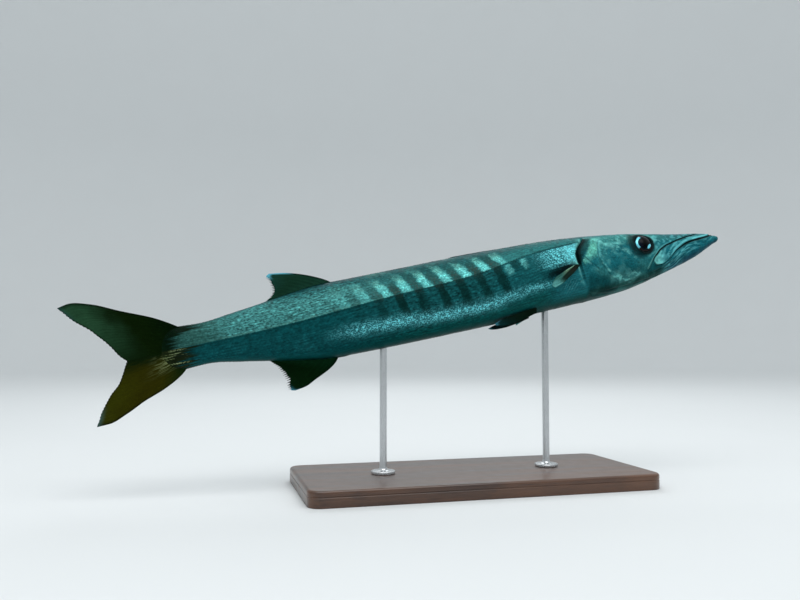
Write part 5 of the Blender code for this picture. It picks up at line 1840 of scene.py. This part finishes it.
def turned(name, x, y, profile, sides):
    """Solid of revolution about a vertical line; profile as (r, z)."""
    t = np.linspace(0, 2 * PI, sides, endpoint=False)
    R = np.array([[(x + r * math.cos(a), y + r * math.sin(a), z) for a in t]
                  for r, z in profile])
    n = len(profile)
    V = np.concatenate([R.reshape(-1, 3), [[x, y, profile[0][1]]],
                        [[x, y, profile[-1][1]]]])
    i = np.arange(n - 1)[:, None] * sides
    j = np.arange(sides)[None, :]
    jn = (j + 1) % sides
    q = np.stack([i + j, i + jn, i + sides + jn, i + sides + j],
                 -1).reshape(-1, 4)
    jj = np.arange(sides)
    bot = np.stack([(jj + 1) % sides, jj, np.full(sides, n * sides)], -1)
    b = (n - 1) * sides
    top = np.stack([b + jj, b + (jj + 1) % sides,
                    np.full(sides, n * sides + 1)], -1)
    ob = build(name, V, [q, bot, top])
    ob.data.set_sharp_from_angle(angle=math.radians(32))
    return ob


wood, steel = wood_material(), steel_material()
done(rounded_base(), wood, "stand_wood", "stand_base")
for tag in ("front", "rear"):
    lo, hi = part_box("stand_rod_" + tag)
    cx, cy = (lo[0] + hi[0]) / 2, (lo[1] + hi[1]) / 2
    foot, top = lo[2], hi[2]
    r, f = 0.005, 0.017
    profile = [(f - 0.0004, BASE_THICK + 0.0001), (f, foot + 0.0004),
               (f, foot + 0.0026)]
    for k in range(1, 7):
        a = 0.5 * PI * k / 6
        profile.append((f - 0.0014 * (1 - math.cos(a)),
                        foot + 0.0026 + 0.0014 * math.sin(a)))
    profile += [(r + 0.0052, foot + 0.0041)]
    for k in range(1, 8):
        a = 0.5 * PI * k / 7
        profile.append((r + 0.0052 - 0.0050 * math.sin(a),
                        foot + 0.0041 + 0.0052 * (1 - math.cos(a))))
    profile += [(r, foot + 0.0110), (r, 0.5 * (foot + top)), (r, top)]
    rod = turned("stand_post_" + tag, cx, cy, profile, 48)
    done(rod, steel, "stand_steel", "stand_rod_" + tag)


# ------------------------------------------------------------ the studio
def studio():
    # round floor that curves up into a low wall on every side
    prof = [(0.0, 0.0), (1.5, 0.0), (4.6, 0.0)]
    for k in range(1, 21):
        a = 0.5 * PI * k / 20
        prof.append((4.6 + 2.4 * math.sin(a), 2.4 * (1 - math.cos(a))))
    prof.append((7.0, 4.2))
    n, m = len(prof), 96
    t = np.arange(m) / m * 2 * PI
    V = [(0.0, 0.0, 0.0)] + [(r * math.cos(a), r * math.sin(a), z)
                             for r, z in prof[1:] for a in t]
    j = np.arange(m)
    jn = (j + 1) % m
    fan = np.stack([np.zeros(m, int), 1 + j, 1 + jn], -1)
    i = 1 + np.arange(n - 2)[:, None] * m
    quads = np.stack([i + j, i + m + j, i + m + jn, i + jn],
                     -1).reshape(-1, 4)
    floor = build("studio_floor", V, [quads, fan])
    G = Graph("studio_floor")
    n_soft = G.noise(G.object_coords(), 3.0, 2.0, 0.5, True)
    G.out(Base_Color=G.scale_colour(rgb(218, 221, 222),
                                    G.add(1.0, G.mul(n_soft, 0.02))),
          Roughness=0.8, Specular_IOR_Level=0.15)
    floor.data.materials.append(G.mat)

    def area(name, at, look, size, power, colour, size_y=None):
        light = bpy.data.lights.new(name, "AREA")
        light.energy = power
        light.size = size
        light.color = colour
        if size_y:
            light.shape = "RECTANGLE"
            light.size_y = size_y
        ob = bpy.data.objects.new(name, light)
        ob.location = at
        d = Vector(look) - Vector(at)
        ob.rotation_euler = d.to_track_quat("-Z", "Y").to_euler()
        bpy.context.scene.collection.objects.link(ob)
    area("light_top", (-0.15, -0.9, 2.2), (0, 0, 0.25), 2.2, 26.0,
         (1.0, 1.0, 1.0), 1.2)
    area("light_rear", (0.5, 1.9, 2.0), (0, 0, 0.3), 1.6, 14.0,
         (0.97, 0.99, 1.0))
    world = bpy.data.worlds.new("studio")
    world.use_nodes = True
    bg = world.node_tree.nodes["Background"]
    bg.inputs["Color"].default_value = (0.90, 0.94, 0.96, 1.0)
    bg.inputs["Strength"].default_value = 0.95
    bpy.context.scene.world = world

    cam_data = bpy.data.cameras.new("camera")
    cam = bpy.data.objects.new("camera", cam_data)
    cam_data.sensor_width = 36.0
    cam_data.lens = 34.2
    cam_data.clip_start = 0.02
    cam.location = (-0.38641, -1.04835, 0.2812 - 0.075)
    yaw, tilt = math.radians(15.0), math.radians(3.163)
    look = Vector((math.sin(yaw) * math.cos(tilt),
                   math.cos(yaw) * math.cos(tilt), math.sin(tilt)))
    cam.rotation_euler = look.to_track_quat("-Z", "Y").to_euler()
    bpy.context.scene.collection.objects.link(cam)
    bpy.context.scene.camera = cam
    bpy.context.scene.view_settings.view_transform = "Standard"


studio()
